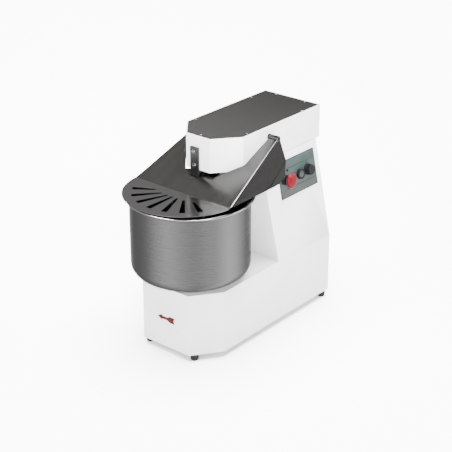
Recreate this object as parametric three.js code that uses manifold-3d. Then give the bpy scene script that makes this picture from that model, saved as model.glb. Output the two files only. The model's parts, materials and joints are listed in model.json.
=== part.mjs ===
// Spiral dough mixer with a turning bowl, in millimetres.
// X points to the right seen from the front, -Y is the front and Z is up.
import * as THREE from 'three';
import { mergeVertices } from 'three/addons/utils/BufferGeometryUtils.js';
import Module from 'manifold-3d';

const wasm = await Module();
wasm.setup();

// ---------------------------------------------------------------- driving dimensions
// Y is counted from the front face of the base, Z from the floor.
const BOWL_INNER_RADIUS = 158.5;
const CLEARANCE = 0.3;
const PAINTED_SHEET = 2;
const STAINLESS_SHEET = 1.5;
const CHAIN_PITCH = 12.7;
const INNER_SIDES = 16; // facets of the round pieces inside the machine, so that shafts and bores line up

const BASE = {
  halfWidth: 137.5, frontHalfWidth: 80.3, chamfer: 79.4, front: 0, rear: 550, bottom: 20.6, top: 198.5,
};
const HEAD = {
  halfWidth: 96.3, frontHalfWidth: 40.3, chamfer: 67.8, front: 137.1, rear: 540, bottom: 489.3, top: 583,
};
const COLUMN = { front: 312.4, frontAtHead: 282.8, rear: 550, rearAtHead: 526, halfWidthAtHead: 95.5 };
const BOWL = {
  y: 104.5, wall: 1.8, bottom: 214.5, cornerRadius: 30, rimHeight: 431.5, rimRadius: 172, beadRadius: 4.2,
};
const GUARD = { plateTop: 446.4, discY: 83, discRadius: 163, bendY: 71, slope: 24.4, flangeTilt: 0.326 };
const HINGE = { y: 312.8, z: 554.6, sleeveRadius: 7.6, inner: 97.6, outer: 129 };
const SPIRAL = {
  y: 201, coilRadius: 48, rodRadius: 7.5, turns: 1.6, coilTop: 412, coilBottom: 228.5, flangeTop: 482,
};
const DRIVE = { y: 352, shaftRadius: 12.5, lowerChainZ: 104, upperChainZ: 554 };
const TEETH = { bowl: 44, bowlDrive: 11, spiralDrive: 30, spiral: 16 };
const BREAKER = {
  x: -7.3, width: 28, front: 130.4, thickness: 4.5, top: 553, bottom: 236, bolts: [541, 503],
};
const STOP_STRIP = { halfWidth: 12, thickness: 3.5, bottom: 11.7, top: 65, screws: [57, 28] };
const FOOT = { radius: 11, front: 24, rear: 536, frontX: 80, rearX: 124 };
const GLAND = { x: -85, z: 60 };
const GEARMOTOR = {
  plate: BASE.top + CLEARANCE, plateThickness: 6, boxTop: 286, motorY: 452, motorRadius: 60,
};
const PANEL_SEAM = { bottom: 9, top: 3 }; // how far the column's front panel stands in from its corners
const ORIGIN_Y = 244.5;

// ---------------------------------------------------------------- finishes
const WHITE_PAINT = { color: 0xe9ebea, roughness: 0.35, metalness: 0 };
const STAINLESS = { color: 0x9a9a98, roughness: 0.3, metalness: 1 };
const TURNED_STEEL = { color: 0x8d8f91, roughness: 0.4, metalness: 1 };
const CHAIN_STEEL = { color: 0x54524e, roughness: 0.45, metalness: 1 };
const CAST_GREY = { color: 0x5f6469, roughness: 0.6, metalness: 0.3 };
const ZINC_PLATE = { color: 0xa9adb0, roughness: 0.45, metalness: 1 };
const ALUMINIUM = { color: 0x8a9597, roughness: 0.45, metalness: 0.8 };
const BLACK_RUBBER = { color: 0x232323, roughness: 0.85, metalness: 0 };
const BLACK_PLASTIC = { color: 0x1f2021, roughness: 0.45, metalness: 0 };
const GREY_PLASTIC = { color: 0x6c7273, roughness: 0.5, metalness: 0 };
const RED_PLASTIC = { color: 0xc9313d, roughness: 0.35, metalness: 0 };
const WHITE_NYLON = { color: 0xdedcd3, roughness: 0.5, metalness: 0 };
const RED_FILM = { color: 0xa32b30, roughness: 0.4, metalness: 0 };

// ---------------------------------------------------------------- solid helpers
// A closed three.js geometry as a manifold solid with its faces pointing out.
function solid(geometry) {
  const bare = new THREE.BufferGeometry();
  bare.setAttribute('position', geometry.getAttribute('position'));
  bare.setIndex(geometry.getIndex());
  const merged = mergeVertices(bare, 1e-4);
  const position = merged.getAttribute('position');
  const index = merged.getIndex();
  const [a, b, c] = [new THREE.Vector3(), new THREE.Vector3(), new THREE.Vector3()];
  const triangles = [];
  let volume = 0;
  for (let i = 0; i < index.count; i += 3) {
    const corners = [index.getX(i), index.getX(i + 1), index.getX(i + 2)];
    if (new Set(corners).size < 3) continue;
    a.fromBufferAttribute(position, corners[0]);
    b.fromBufferAttribute(position, corners[1]);
    c.fromBufferAttribute(position, corners[2]);
    volume += a.dot(b.cross(c));
    triangles.push(corners);
  }
  const facingOut = volume > 0 ? triangles : triangles.map((corners) => corners.reverse());
  return new wasm.Manifold(new wasm.Mesh({
    numProp: 3,
    vertProperties: new Float32Array(position.array),
    triVerts: new Uint32Array(facingOut.flat()),
  }));
}

function geometryOf(body) {
  const mesh = body.getMesh();
  const geometry = new THREE.BufferGeometry();
  geometry.setAttribute('position', new THREE.BufferAttribute(new Float32Array(mesh.vertProperties), 3));
  geometry.setIndex(new THREE.BufferAttribute(new Uint32Array(mesh.triVerts), 1));
  geometry.computeVertexNormals();
  return geometry;
}

const join = (...bodies) => bodies.reduce((whole, body) => whole.add(body));
const cut = (blank, ...tools) => tools.reduce((rest, tool) => rest.subtract(tool), blank);
const toVector2 = ([x, y]) => new THREE.Vector2(x, y);
const degrees = THREE.MathUtils.degToRad;
const mix = THREE.MathUtils.lerp;

// Outline of [x, y] points, from z0 up to z1.
function prism(outline, z0, z1, holes = []) {
  const shape = new THREE.Shape(outline.map(toVector2));
  const geometry = new THREE.ExtrudeGeometry(shape, { depth: z1 - z0, bevelEnabled: false });
  return cut(solid(geometry.translate(0, 0, z0)), ...holes.map((hole) => prism(hole, z0 - 1, z1 + 1)));
}

function circle(radius, sides, x = 0, y = 0) {
  return Array.from({ length: sides }, (_, i) => {
    const angle = (2 * Math.PI * i) / sides;
    return [x + radius * Math.cos(angle), y + radius * Math.sin(angle)];
  });
}

const rectangle = (x0, x1, y0, y1) => [[x0, y0], [x1, y0], [x1, y1], [x0, y1]];
const block = (x0, x1, y0, y1, z0, z1) => prism(rectangle(x0, x1, y0, y1), z0, z1);
const rod = (radius, z0, z1, sides = 24, x = 0, y = 0) => prism(circle(radius, sides, x, y), z0, z1);

// Profile of [radius, z] points turned about the Z axis.
function turned(profile, sides) {
  const closed = profile[0][0] === 0 ? profile : [...profile, profile[0]];
  return solid(new THREE.LatheGeometry(closed.map(toVector2), sides).rotateX(Math.PI / 2));
}

// Convex outlines of the same number of points, joined from z0 up to z1.
function loft(lower, upper, z0, z1) {
  const count = lower.length;
  const geometry = new THREE.BufferGeometry();
  const vertices = [...lower.map(([x, y]) => [x, y, z0]), ...upper.map(([x, y]) => [x, y, z1])];
  const faces = [];
  for (let i = 0; i < count; i += 1) {
    const next = (i + 1) % count;
    faces.push(i, next, count + next, i, count + next, count + i);
  }
  for (let i = 1; i < count - 1; i += 1) {
    faces.push(0, i + 1, i);
    faces.push(count, count + i, count + i + 1);
  }
  geometry.setAttribute('position', new THREE.Float32BufferAttribute(vertices.flat(), 3));
  geometry.setIndex(faces);
  return solid(geometry);
}

// Flat sheet whose outer face has the given corners, thick towards the back of that face.
function sheet(corners, thickness) {
  const points = corners.map((corner) => new THREE.Vector3(...corner));
  const across = points[1].clone().sub(points[0]).normalize();
  const normal = new THREE.Vector3();
  points.forEach((point, i) => normal.add(point.clone().cross(points[(i + 1) % points.length])));
  normal.normalize();
  const up = normal.clone().cross(across);
  const outline = points.map((point) => {
    const offset = point.clone().sub(points[0]);
    return new THREE.Vector2(offset.dot(across), offset.dot(up));
  });
  const shape = new THREE.Shape(outline);
  const geometry = new THREE.ExtrudeGeometry(shape, { depth: thickness, bevelEnabled: false });
  geometry.translate(0, 0, -thickness);
  const place = new THREE.Matrix4().makeBasis(across, up, normal).setPosition(points[0]);
  return solid(geometry.applyMatrix4(place));
}

// Convex outline moved inwards by the same distance on every edge.
function inset(outline, distance) {
  const count = outline.length;
  const lines = outline.map(([x, y], i) => {
    const [nextX, nextY] = outline[(i + 1) % count];
    const length = Math.hypot(nextX - x, nextY - y);
    const normal = [-(nextY - y) / length, (nextX - x) / length];
    return { normal, offset: normal[0] * x + normal[1] * y + distance };
  });
  return lines.map((line, i) => {
    const before = lines[(i + count - 1) % count];
    const cross = before.normal[0] * line.normal[1] - before.normal[1] * line.normal[0];
    const x = (before.offset * line.normal[1] - line.offset * before.normal[1]) / cross;
    const y = (before.normal[0] * line.offset - line.normal[0] * before.offset) / cross;
    return [x, y];
  });
}

// ---------------------------------------------------------------- assembly helpers
const mixer = new THREE.Group();
mixer.position.y = -ORIGIN_Y;

function add(name, body, finish, place = {}) {
  const mesh = new THREE.Mesh(geometryOf(body), new THREE.MeshStandardMaterial(finish));
  mesh.name = name;
  mesh.position.set(...(place.at ?? [0, 0, 0]));
  mesh.rotation.set(...(place.turn ?? [0, 0, 0]));
  (place.group ?? mixer).add(mesh);
  return mesh;
}

const ALONG_X = [0, Math.PI / 2, 0];
const SIDES = [['left', -1], ['right', 1]];

// ---------------------------------------------------------------- housing
// Plan of the base and of the head: a rectangle whose front corners are cut off.
function chamferedPlan({ halfWidth, frontHalfWidth, chamfer, front, rear }) {
  return [
    [-frontHalfWidth, front], [frontHalfWidth, front], [halfWidth, front + chamfer],
    [halfWidth, rear], [-halfWidth, rear], [-halfWidth, front + chamfer],
  ];
}

// Plan of the column at height z, moved in by the given distances.
function columnPlan(z, side = 0, front = 0, rear = 0) {
  const t = (z - BASE.top) / (HEAD.bottom - BASE.top);
  const half = mix(BASE.halfWidth, COLUMN.halfWidthAtHead, t) - side;
  const yFront = mix(COLUMN.front, COLUMN.frontAtHead, t) + front;
  const yRear = mix(COLUMN.rear, COLUMN.rearAtHead, t) - rear;
  return rectangle(-half, half, yFront, yRear);
}

const columnLoft = (z0, z1, side, front, rear) =>
  loft(columnPlan(z0, side, front, rear), columnPlan(z1, side, front, rear), z0, z1);

function baseShell() {
  const plan = chamferedPlan(BASE);
  const pocket = prism(inset(plan, PAINTED_SHEET), BASE.bottom - 1, BASE.top - PAINTED_SHEET);
  const spindleHole = rod(34, BASE.top - 5, BASE.top + 5, 32, 0, BOWL.y);
  const driveOpening = block(-70, 70, 326, 500, BASE.top - 5, BASE.top + 5);
  const glandHole = geometryOf(rod(10.4, -5, 5, 20)).rotateX(Math.PI / 2);
  const glandInRear = solid(glandHole.translate(GLAND.x, BASE.rear, GLAND.z));
  return cut(prism(plan, BASE.bottom, BASE.top), pocket, spindleHole, driveOpening, glandInRear);
}

function baseFloor() {
  const plan = inset(chamferedPlan(BASE), PAINTED_SHEET + CLEARANCE);
  const vents = [-1, 1].flatMap((side) => [0, 1, 2, 3].map((row) => {
    const y = 400 + row * 24;
    return rectangle(side * 50 - 30, side * 50 + 30, y, y + 8);
  }));
  return prism(plan, BASE.bottom, BASE.bottom + PAINTED_SHEET, vents);
}

// The front of the column is closed by its own panel, let into the front face.
function frontPanelBlank(grow, depth) {
  const [z0, z1] = [BASE.top + 8, HEAD.bottom - 8];
  const plan = (z, seam) => {
    const [[x0, y0], [x1]] = columnPlan(z);
    return rectangle(x0 + seam - grow, x1 - seam + grow, y0 - 1, y0 + depth);
  };
  return loft(plan(z0 - grow, PANEL_SEAM.bottom), plan(z1 + grow, PANEL_SEAM.top), z0 - grow, z1 + grow);
}

function columnShell() {
  const [z0, z1] = [BASE.top + CLEARANCE, HEAD.bottom - CLEARANCE];
  const outer = columnLoft(z0, z1, 0, 0, 0);
  const inner = columnLoft(z0 - 1, z1 + 1, PAINTED_SHEET, PAINTED_SHEET, PAINTED_SHEET);
  const rearDoorway = columnLoft(z0 + 18, z1 - 18, 16, 60, -5);
  const frontDoorway = frontPanelBlank(CLEARANCE, 6);
  const controlHoles = CONTROLS.map(({ up, y, barrel }) => {
    const hole = geometryOf(rod(barrel + 0.7, -12, 12, 20)).translate(-up, y, 0);
    return solid(hole.applyMatrix4(panelMatrix()));
  });
  return cut(outer, inner, rearDoorway, frontDoorway, ...controlHoles);
}

function columnFrontPanel() {
  const face = columnLoft(BASE.top, HEAD.bottom, 0, 0.05, 0);
  const behind = columnLoft(BASE.top - 1, HEAD.bottom + 1, -10, 0.05 + PAINTED_SHEET, -10);
  const inFront = cut(columnLoft(BASE.top - 9, HEAD.bottom + 9, -20, -20, -20), face);
  return cut(frontPanelBlank(0, 6), inFront, behind);
}

// Removable panel over the rear of the column, with two stacks of louvre slots.
function rearCover() {
  const [z0, z1] = [BASE.top + 4, HEAD.bottom - 4];
  const outer = columnLoft(z0, z1, 5, 0, -1.8);
  const solidPart = columnLoft(z0 - 1, z1 + 1, -10, -30, -CLEARANCE);
  const slots = [-1, 1].flatMap((side) => [0, 1, 2, 3, 4].map((row) => {
    const z = 250 + row * 14;
    return block(side * 45 - 32, side * 45 + 32, 500, 570, z, z + 5);
  }));
  return cut(outer, solidPart, ...slots);
}

function headShell() {
  const plan = chamferedPlan(HEAD);
  const lip = HEAD.top - 4;
  const cavity = prism(inset(plan, PAINTED_SHEET), HEAD.bottom + PAINTED_SHEET, lip);
  const mouth = prism(inset(plan, 14), lip - 1, HEAD.top + 1);
  const recess = prism(inset(plan, PAINTED_SHEET), lip + PAINTED_SHEET, HEAD.top + 1);
  const columnOpening = block(-80, 80, 302, 508, HEAD.bottom - 5, HEAD.bottom + 5);
  const spiralOpening = rod(22, HEAD.bottom - 5, HEAD.bottom + 5, 32, 0, SPIRAL.y);
  const hingeRod = geometryOf(rod(8, -120, 120, 24)).rotateY(Math.PI / 2);
  const hingeHoles = solid(hingeRod.translate(0, HINGE.y, HINGE.z));
  const openings = [columnOpening, spiralOpening, hingeHoles, ...breakerHoles()];
  return cut(prism(plan, HEAD.bottom, HEAD.top), cavity, mouth, recess, ...openings);
}

function headTopCover() {
  const plan = inset(chamferedPlan(HEAD), PAINTED_SHEET + CLEARANCE);
  const z0 = HEAD.top - 4 + PAINTED_SHEET + CLEARANCE;
  return prism(plan, z0, z0 + STAINLESS_SHEET);
}

function rubberFoot() {
  const { radius } = FOOT;
  const top = BASE.bottom - CLEARANCE;
  return turned([[0, 0], [radius - 1.5, 0], [radius, 2], [radius + 0.8, top], [0, top]], 18);
}

// ---------------------------------------------------------------- bowl and its spindle
function bowl() {
  const outer = BOWL_INNER_RADIUS + BOWL.wall;
  const { bottom, cornerRadius, wall, rimHeight, rimRadius, beadRadius } = BOWL;
  const beadCentre = rimRadius - beadRadius;
  const corner = (radius, from, to, steps) => Array.from({ length: steps + 1 }, (_, i) => {
    const angle = mix(from, to, i / steps);
    const centre = outer - cornerRadius;
    return [centre + radius * Math.cos(angle), bottom + cornerRadius + radius * Math.sin(angle)];
  });
  const bead = [-120, -40, 40, 120].map((angle) => [
    beadCentre + beadRadius * Math.cos(degrees(angle)),
    rimHeight + beadRadius * Math.sin(degrees(angle)),
  ]);
  return turned([
    [0, bottom],
    ...corner(cornerRadius, -Math.PI / 2, 0, 3),
    [outer, rimHeight - 14],
    ...bead,
    [BOWL_INNER_RADIUS + 2, rimHeight - 2],
    [BOWL_INNER_RADIUS, rimHeight - 12],
    ...corner(cornerRadius - wall, 0, -Math.PI / 2, 3),
    [0, bottom + wall],
  ], 40);
}

const SPINDLE = { radius: 15, flangeRadius: 55, flangeZ: 203 };

function bowlSpindle() {
  const { radius, flangeRadius, flangeZ } = SPINDLE;
  const top = BOWL.bottom - CLEARANCE;
  const shoulder = 25;
  return turned([
    [0, 92], [radius, 92], [radius, HOUSING.top], [shoulder, HOUSING.top], [shoulder, flangeZ],
    [flangeRadius, flangeZ], [flangeRadius, top], [0, top],
  ], INNER_SIDES);
}

const HOUSING = { bore: 31.3, wall: 37, flange: 60, top: BASE.top - PAINTED_SHEET - CLEARANCE, bottom: 126 };

function bowlBearingHousing() {
  const { bore, wall, flange, top, bottom } = HOUSING;
  const body = turned([
    [bore - 4, bottom], [wall, bottom], [wall, top - 8], [flange, top - 8], [flange, top], [bore, top],
    [bore, top - 17], [bore - 4, top - 17], [bore - 4, bottom + 21], [bore, bottom + 21], [bore, bottom + 4],
    [bore - 4, bottom + 4],
  ], INNER_SIDES);
  const boltHoles = [45, 135, 225, 315].map((angle) => {
    const x = 50 * Math.cos(degrees(angle));
    const y = 50 * Math.sin(degrees(angle));
    return rod(4.5, top - 20, top + 5, 8, x, y);
  });
  return cut(body, ...boltHoles);
}

// Deep-groove ball bearing with its inner ring a little narrower than the outer one.
function bearing(bore, outer, width) {
  const step = bore + (outer - bore) * 0.35;
  return turned([
    [bore, 0.8], [step, 0.8], [step, 0], [outer, 0], [outer, width], [step, width], [step, width - 0.8],
    [bore, width - 0.8],
  ], INNER_SIDES);
}

// ---------------------------------------------------------------- chain drives
const pitchRadius = (teeth) => CHAIN_PITCH / (2 * Math.sin(Math.PI / teeth));

function sprocket(teeth, bore, hubRadius, hubHeight, windows = 0) {
  const pitch = pitchRadius(teeth);
  const outline = [];
  for (let tooth = 0; tooth < teeth; tooth += 1) {
    for (const [share, radius] of [[-0.13, 3.4], [0.13, 3.4], [0.5, -3.9]]) {
      const angle = (2 * Math.PI * (tooth + share)) / teeth;
      outline.push([(pitch + radius) * Math.cos(angle), (pitch + radius) * Math.sin(angle)]);
    }
  }
  const lightening = Array.from({ length: windows }, (_, i) => {
    const angle = (2 * Math.PI * (i + 0.5)) / windows;
    const middle = (pitch + hubRadius) / 2 - 2;
    return circle(pitch * 0.19, 10, middle * Math.cos(angle), middle * Math.sin(angle));
  });
  const half = TOOTH_WIDTH / 2;
  const disc = prism(outline, -half, half, lightening);
  const hub = rod(hubRadius, -half, hubHeight, INNER_SIDES);
  return cut(join(disc, hub), rod(bore, -20, hubHeight + 20, INNER_SIDES));
}

const TOOTH_WIDTH = 7.2;
const LINK = { halfHeight: 5.9, plate: 2, innerWidth: 7.9, roof: 4.1 };

// Outline of a chain that runs round two wheels, a given offset outside the pitch line.
function chainOutline(nearRadius, farRadius, distance, offset) {
  const tangent = Math.asin((nearRadius - farRadius) / distance);
  const arc = (radius, centreY, from, to) => {
    const steps = Math.max(10, Math.round(radius / 4.5));
    return Array.from({ length: steps + 1 }, (_, i) => {
      const angle = mix(from, to, i / steps);
      return [(radius + offset) * Math.cos(angle), centreY + (radius + offset) * Math.sin(angle)];
    });
  };
  return [
    ...arc(farRadius, distance, tangent, Math.PI - tangent),
    ...arc(nearRadius, 0, Math.PI - tangent, 2 * Math.PI + tangent),
  ];
}

// The chain as a loop of channel section that the sprocket teeth run inside.
function chainLoop(nearTeeth, farTeeth, distance) {
  const outline = (offset) => chainOutline(pitchRadius(nearTeeth), pitchRadius(farTeeth), distance, offset);
  const half = LINK.innerWidth / 2 + LINK.plate;
  const whole = prism(outline(LINK.halfHeight), -half, half, [outline(-LINK.halfHeight)]);
  const groove = prism(outline(LINK.roof), -LINK.innerWidth / 2, LINK.innerWidth / 2);
  return cut(whole, groove);
}

// Nylon shoe against the outside of a chain, on an arm that runs out along -X to its foot.
function chainTensioner(shoeRadius, armLength, height, footReach) {
  const shoe = rod(shoeRadius, -9, 9, INNER_SIDES);
  const arm = block(-armLength, 0, -9, 9, 9, 13);
  const post = block(-armLength, -armLength + 5, -9, 9, 9, height);
  const foot = block(-armLength - footReach, -armLength + 5, -9, 9, height - 4, height);
  return join(shoe, arm, post, foot);
}

// ---------------------------------------------------------------- gearmotor
function gearmotorMount() {
  const z0 = GEARMOTOR.plate;
  const plate = block(-122, 122, 320, 535, z0, z0 + GEARMOTOR.plateThickness);
  const shaftOpening = rod(30, z0 - 5, z0 + 12, INNER_SIDES, 0, DRIVE.y);
  const motorOpening = block(-45, 45, 420, 500, z0 - 5, z0 + 12);
  return cut(plate, shaftOpening, motorOpening);
}

const MOTOR_FLANGE = 8;
const MOTOR_LENGTH = 140;

function gearbox() {
  const [z0, z1] = [GEARMOTOR.plate + GEARMOTOR.plateThickness + CLEARANCE, GEARMOTOR.boxTop];
  const [x0, x1, y0, y1] = [-56, 56, 318, 520];
  const chamfer = 14;
  const outline = [
    [x0 + chamfer, y0], [x1 - chamfer, y0], [x1, y0 + chamfer], [x1, y1 - chamfer],
    [x1 - chamfer, y1], [x0 + chamfer, y1], [x0, y1 - chamfer], [x0, y0 + chamfer],
  ];
  const box = prism(outline, z0, z1);
  const shaftBoss = rod(26, z1 - 1, z1 + 10, INNER_SIDES, 0, DRIVE.y);
  const motorFlange = rod(GEARMOTOR.motorRadius + 1, z1 - 1, z1 + MOTOR_FLANGE, 24, 0, GEARMOTOR.motorY);
  const cover = prism(inset(outline, 8), z1 - 1, z1 + 3);
  const bore = rod(DRIVE.shaftRadius + CLEARANCE, z0 - 5, z1 + 20, INNER_SIDES, 0, DRIVE.y);
  return cut(join(box, shaftBoss, motorFlange, cover), bore);
}

function motor() {
  const fins = 12;
  const outline = [];
  for (let fin = 0; fin < fins; fin += 1) {
    for (const [share, drop] of [[-0.25, 7], [-0.18, 0], [0.18, 0], [0.25, 7]]) {
      const angle = (2 * Math.PI * (fin + share)) / fins;
      const radius = GEARMOTOR.motorRadius - drop;
      outline.push([radius * Math.cos(angle), radius * Math.sin(angle)]);
    }
  }
  const terminalBox = block(-70, -45, -28, 28, 40, 95);
  const shield = 16;
  const lowerShield = rod(GEARMOTOR.motorRadius - 3, 0, shield, 24);
  const upperShield = rod(GEARMOTOR.motorRadius - 3, MOTOR_LENGTH - shield, MOTOR_LENGTH, 24);
  return join(prism(outline, 0, MOTOR_LENGTH), lowerShield, upperShield, terminalBox);
}

function motorFanCover() {
  const outer = rod(GEARMOTOR.motorRadius, 0, 38, 24);
  const hollow = rod(GEARMOTOR.motorRadius - 1.5, -1, 36.5, 24);
  const slots = [-30, -20, -10, 0, 10, 20, 30].map((x) => {
    const reach = Math.sqrt(46 ** 2 - x ** 2);
    return block(x - 2, x + 2, -reach, reach, 30, 45);
  });
  return cut(outer, hollow, ...slots);
}

function driveTopBearing() {
  const z0 = HEAD.bottom + PAINTED_SHEET + CLEARANCE;
  const bridge = block(-92, 92, -34, 34, z0, z0 + 5);
  const unit = turned([[0, z0 + 4], [34, z0 + 4], [30, z0 + 12], [26, z0 + 24], [0, z0 + 24]], INNER_SIDES);
  return cut(join(bridge, unit), rod(DRIVE.shaftRadius + CLEARANCE, z0 - 5, z0 + 40, INNER_SIDES));
}

// ---------------------------------------------------------------- spiral
class SpiralPath extends THREE.Curve {
  // Down the axis, out to the coil radius, then round and down to the bottom of the bowl.
  getPoint(t, target = new THREE.Vector3()) {
    const { coilRadius, turns, coilTop, coilBottom, flangeTop } = SPIRAL;
    const share = THREE.MathUtils.smoothstep(t, 0, 0.24);
    const angle = 2 * Math.PI * turns * t;
    const radius = coilRadius * share * (1 - 0.3 * THREE.MathUtils.smoothstep(t, 0.86, 1));
    const top = flangeTop - 12;
    const z = t < 0.24 ? mix(top, coilTop - 20, t / 0.24) : mix(coilTop - 20, coilBottom, (t - 0.24) / 0.76);
    return target.set(radius * Math.cos(angle), radius * Math.sin(angle), z);
  }
}

function spiralTool() {
  const section = new THREE.Shape(circle(SPIRAL.rodRadius, 8).map(toVector2));
  const path = new SpiralPath();
  const swept = { steps: 42, extrudePath: path, bevelEnabled: false };
  const bar = solid(new THREE.ExtrudeGeometry(section, swept));
  const flange = rod(28, SPIRAL.flangeTop - 16, SPIRAL.flangeTop - 8 - CLEARANCE, 32);
  const neck = turned([[0, 450], [11, 452], [15, 468], [15, 472], [0, 472]], 24);
  return join(bar, flange, neck);
}

function spiralShaft() {
  const { flangeTop } = SPIRAL;
  return turned([
    [0, flangeTop - 8], [28, flangeTop - 8], [28, flangeTop], [14, flangeTop], [14, HEAD.bottom + 4.4],
    [12.5, HEAD.bottom + 4.4], [12.5, 568], [0, 568],
  ], INNER_SIDES);
}

const SPIRAL_HOUSING = {
  bottom: HEAD.bottom + PAINTED_SHEET + CLEARANCE, top: 542, bore: 26.3, wall: 32, flange: 54,
};

function spiralBearingHousing() {
  const { bottom, top, bore, wall, flange } = SPIRAL_HOUSING;
  return turned([
    [bore - 5, bottom], [flange, bottom], [flange, bottom + 8], [wall, bottom + 8], [wall, top], [bore, top],
    [bore, top - 16], [bore - 5, top - 16], [bore - 5, bottom + 18], [bore, bottom + 18], [bore, bottom + 2],
    [bore - 5, bottom + 2],
  ], INNER_SIDES);
}

// ---------------------------------------------------------------- dough breaker
function breakerBar() {
  const { x, width, front, thickness, top, bottom } = BREAKER;
  const half = width / 2;
  const bend = 3;
  const outline = [
    [x - half, bottom + bend], [x - half + bend, bottom],
    [x + half - bend, bottom], [x + half, bottom + bend],
    [x + half, top - 1], [x + half - 1, top], [x - half + 1, top], [x - half, top - 1],
  ];
  const holes = BREAKER.bolts.map((z) => circle(4.3, 16, x, z));
  const upright = geometryOf(prism(outline, 0, thickness, holes)).rotateX(Math.PI / 2);
  return solid(upright.translate(0, front + thickness, 0));
}

// Bolt holes of the breaker bar, through its backing plate and the front wall of the head.
function breakerHoles() {
  return BREAKER.bolts.map((z) => {
    const hole = geometryOf(rod(4.3, -10, 10, 16)).rotateX(Math.PI / 2);
    return solid(hole.translate(BREAKER.x, HEAD.front, z));
  });
}

function breakerBackingPlate() {
  const z0 = HEAD.bottom + 3;
  const y0 = BREAKER.front + BREAKER.thickness + CLEARANCE;
  const half = BREAKER.width / 2 + 2;
  const plate = block(BREAKER.x - half, BREAKER.x + half, y0, HEAD.front - CLEARANCE, z0, BREAKER.top - 2);
  return cut(plate, ...breakerHoles());
}

// Hexagon-head bolt along -Z, its head above z = 0.
function bolt(radius, length, headRadius, headHeight) {
  const washer = rod(headRadius + 1.2, 0, 1, 20);
  const head = rod(headRadius, 0.9, 1 + headHeight, 6);
  return join(washer, head, rod(radius, -length, 0.1, 16));
}

// Strip screwed to the left chamfer of the head, just above the lowered guard.
function guardStopPlate() {
  const { halfWidth, thickness, bottom, top, screws } = STOP_STRIP;
  const face = CLEARANCE + thickness;
  const strip = block(-halfWidth, halfWidth, CLEARANCE, face, bottom, top);
  const heads = screws.map((z) => {
    const screw = geometryOf(bolt(1, 1, 3.8, 2)).rotateX(-Math.PI / 2);
    return solid(screw.translate(0, face - 0.1, z));
  });
  return join(strip, ...heads);
}

// ---------------------------------------------------------------- guard
const SLOPE = Math.tan(degrees(GUARD.slope));
const slopeHeight = (y) => GUARD.plateTop + (y - GUARD.bendY) * SLOPE;
const flangeX = (z) => GUARD.discRadius - 0.8 - (z - GUARD.plateTop) * GUARD.flangeTilt;
const SLOTS = {
  count: 7, spacing: 19.5, outerRadius: 139, innerRadius: 49, stagger: 3.4, wide: 7.6, narrow: 3.2, corner: 3,
};
const GUARD_REAR = HINGE.y - HINGE.sleeveRadius - CLEARANCE - 0.4;
const NOTCH = { frontY: 140.8, recessY: 127, recess: [-24.5, 11], side: 100.2, gapRight: 3, gapLeft: 3 };

// Radial slot in the disc: square with small corners at its wide outer end, round at its narrow inner end.
function radialSlot(step) {
  const { outerRadius, innerRadius, stagger, wide, narrow, corner } = SLOTS;
  const near = innerRadius + stagger * step * step;
  const far = outerRadius - corner;
  const arc = (x, y, radius, from, to) => [0, 1, 2].map((i) => {
    const angle = mix(from, to, i / 2);
    return [x + radius * Math.cos(angle), y + radius * Math.sin(angle)];
  });
  const quarter = Math.PI / 2;
  const outline = [
    ...arc(far, corner - wide, corner, -quarter, 0), ...arc(far, wide - corner, corner, 0, quarter),
    ...arc(near, 0, narrow, quarter, 3 * quarter),
  ];
  const slot = geometryOf(prism(outline, -10, 10));
  slot.rotateZ(degrees(-90 + step * SLOTS.spacing));
  return solid(slot.translate(0, GUARD.discY, GUARD.plateTop));
}

function guardDisc() {
  const { discRadius, discY, bendY, plateTop } = GUARD;
  const reach = Math.asin((bendY - discY) / discRadius);
  const outline = Array.from({ length: 41 }, (_, i) => {
    const angle = mix(-Math.PI - reach, reach, i / 40);
    return [discRadius * Math.cos(angle), discY + discRadius * Math.sin(angle)];
  });
  const [right, left] = [outline[40], outline[0]];
  outline.push([right[0] - 0.3, bendY + 1.6], [left[0] + 0.3, bendY + 1.6]);
  const disc = prism(outline, plateTop - STAINLESS_SHEET, plateTop);
  const steps = Array.from({ length: SLOTS.count }, (_, i) => i - (SLOTS.count - 1) / 2);
  return cut(disc, ...steps.map(radialSlot));
}

// Sloped plate behind the bend, with a notch that goes round the head.
function guardSlope() {
  const { recessY, frontY, recess, side, gapRight, gapLeft } = NOTCH;
  const chamferWidth = HEAD.halfWidth - HEAD.frontHalfWidth;
  const chamferRun = chamferWidth / HEAD.chamfer;
  const standOff = Math.hypot(HEAD.chamfer, chamferWidth) / HEAD.chamfer;
  // X of the notch's chamfer edge at a given y, standing off the head's chamfer by a gap.
  const edgeX = (y, gap) => HEAD.frontHalfWidth + (y - HEAD.front) * chamferRun + gap * standOff;
  const edgeY = (gap) => frontY + (side - edgeX(frontY, gap)) / chamferRun;
  const foldX = (y) => flangeX(slopeHeight(y));
  const plan = [
    [-foldX(GUARD.bendY), GUARD.bendY], [foldX(GUARD.bendY), GUARD.bendY], [foldX(GUARD_REAR), GUARD_REAR],
    [side, GUARD_REAR], [side, edgeY(gapRight)], [edgeX(frontY, gapRight), frontY], [recess[1], frontY],
    [recess[1], recessY], [recess[0], recessY], [recess[0], frontY], [-edgeX(frontY, gapLeft), frontY],
    [-side, edgeY(gapLeft)], [-side, GUARD_REAR], [-foldX(GUARD_REAR), GUARD_REAR],
  ];
  return sheet(plan.map(([x, y]) => [x, y, slopeHeight(y)]), STAINLESS_SHEET);
}

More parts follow.
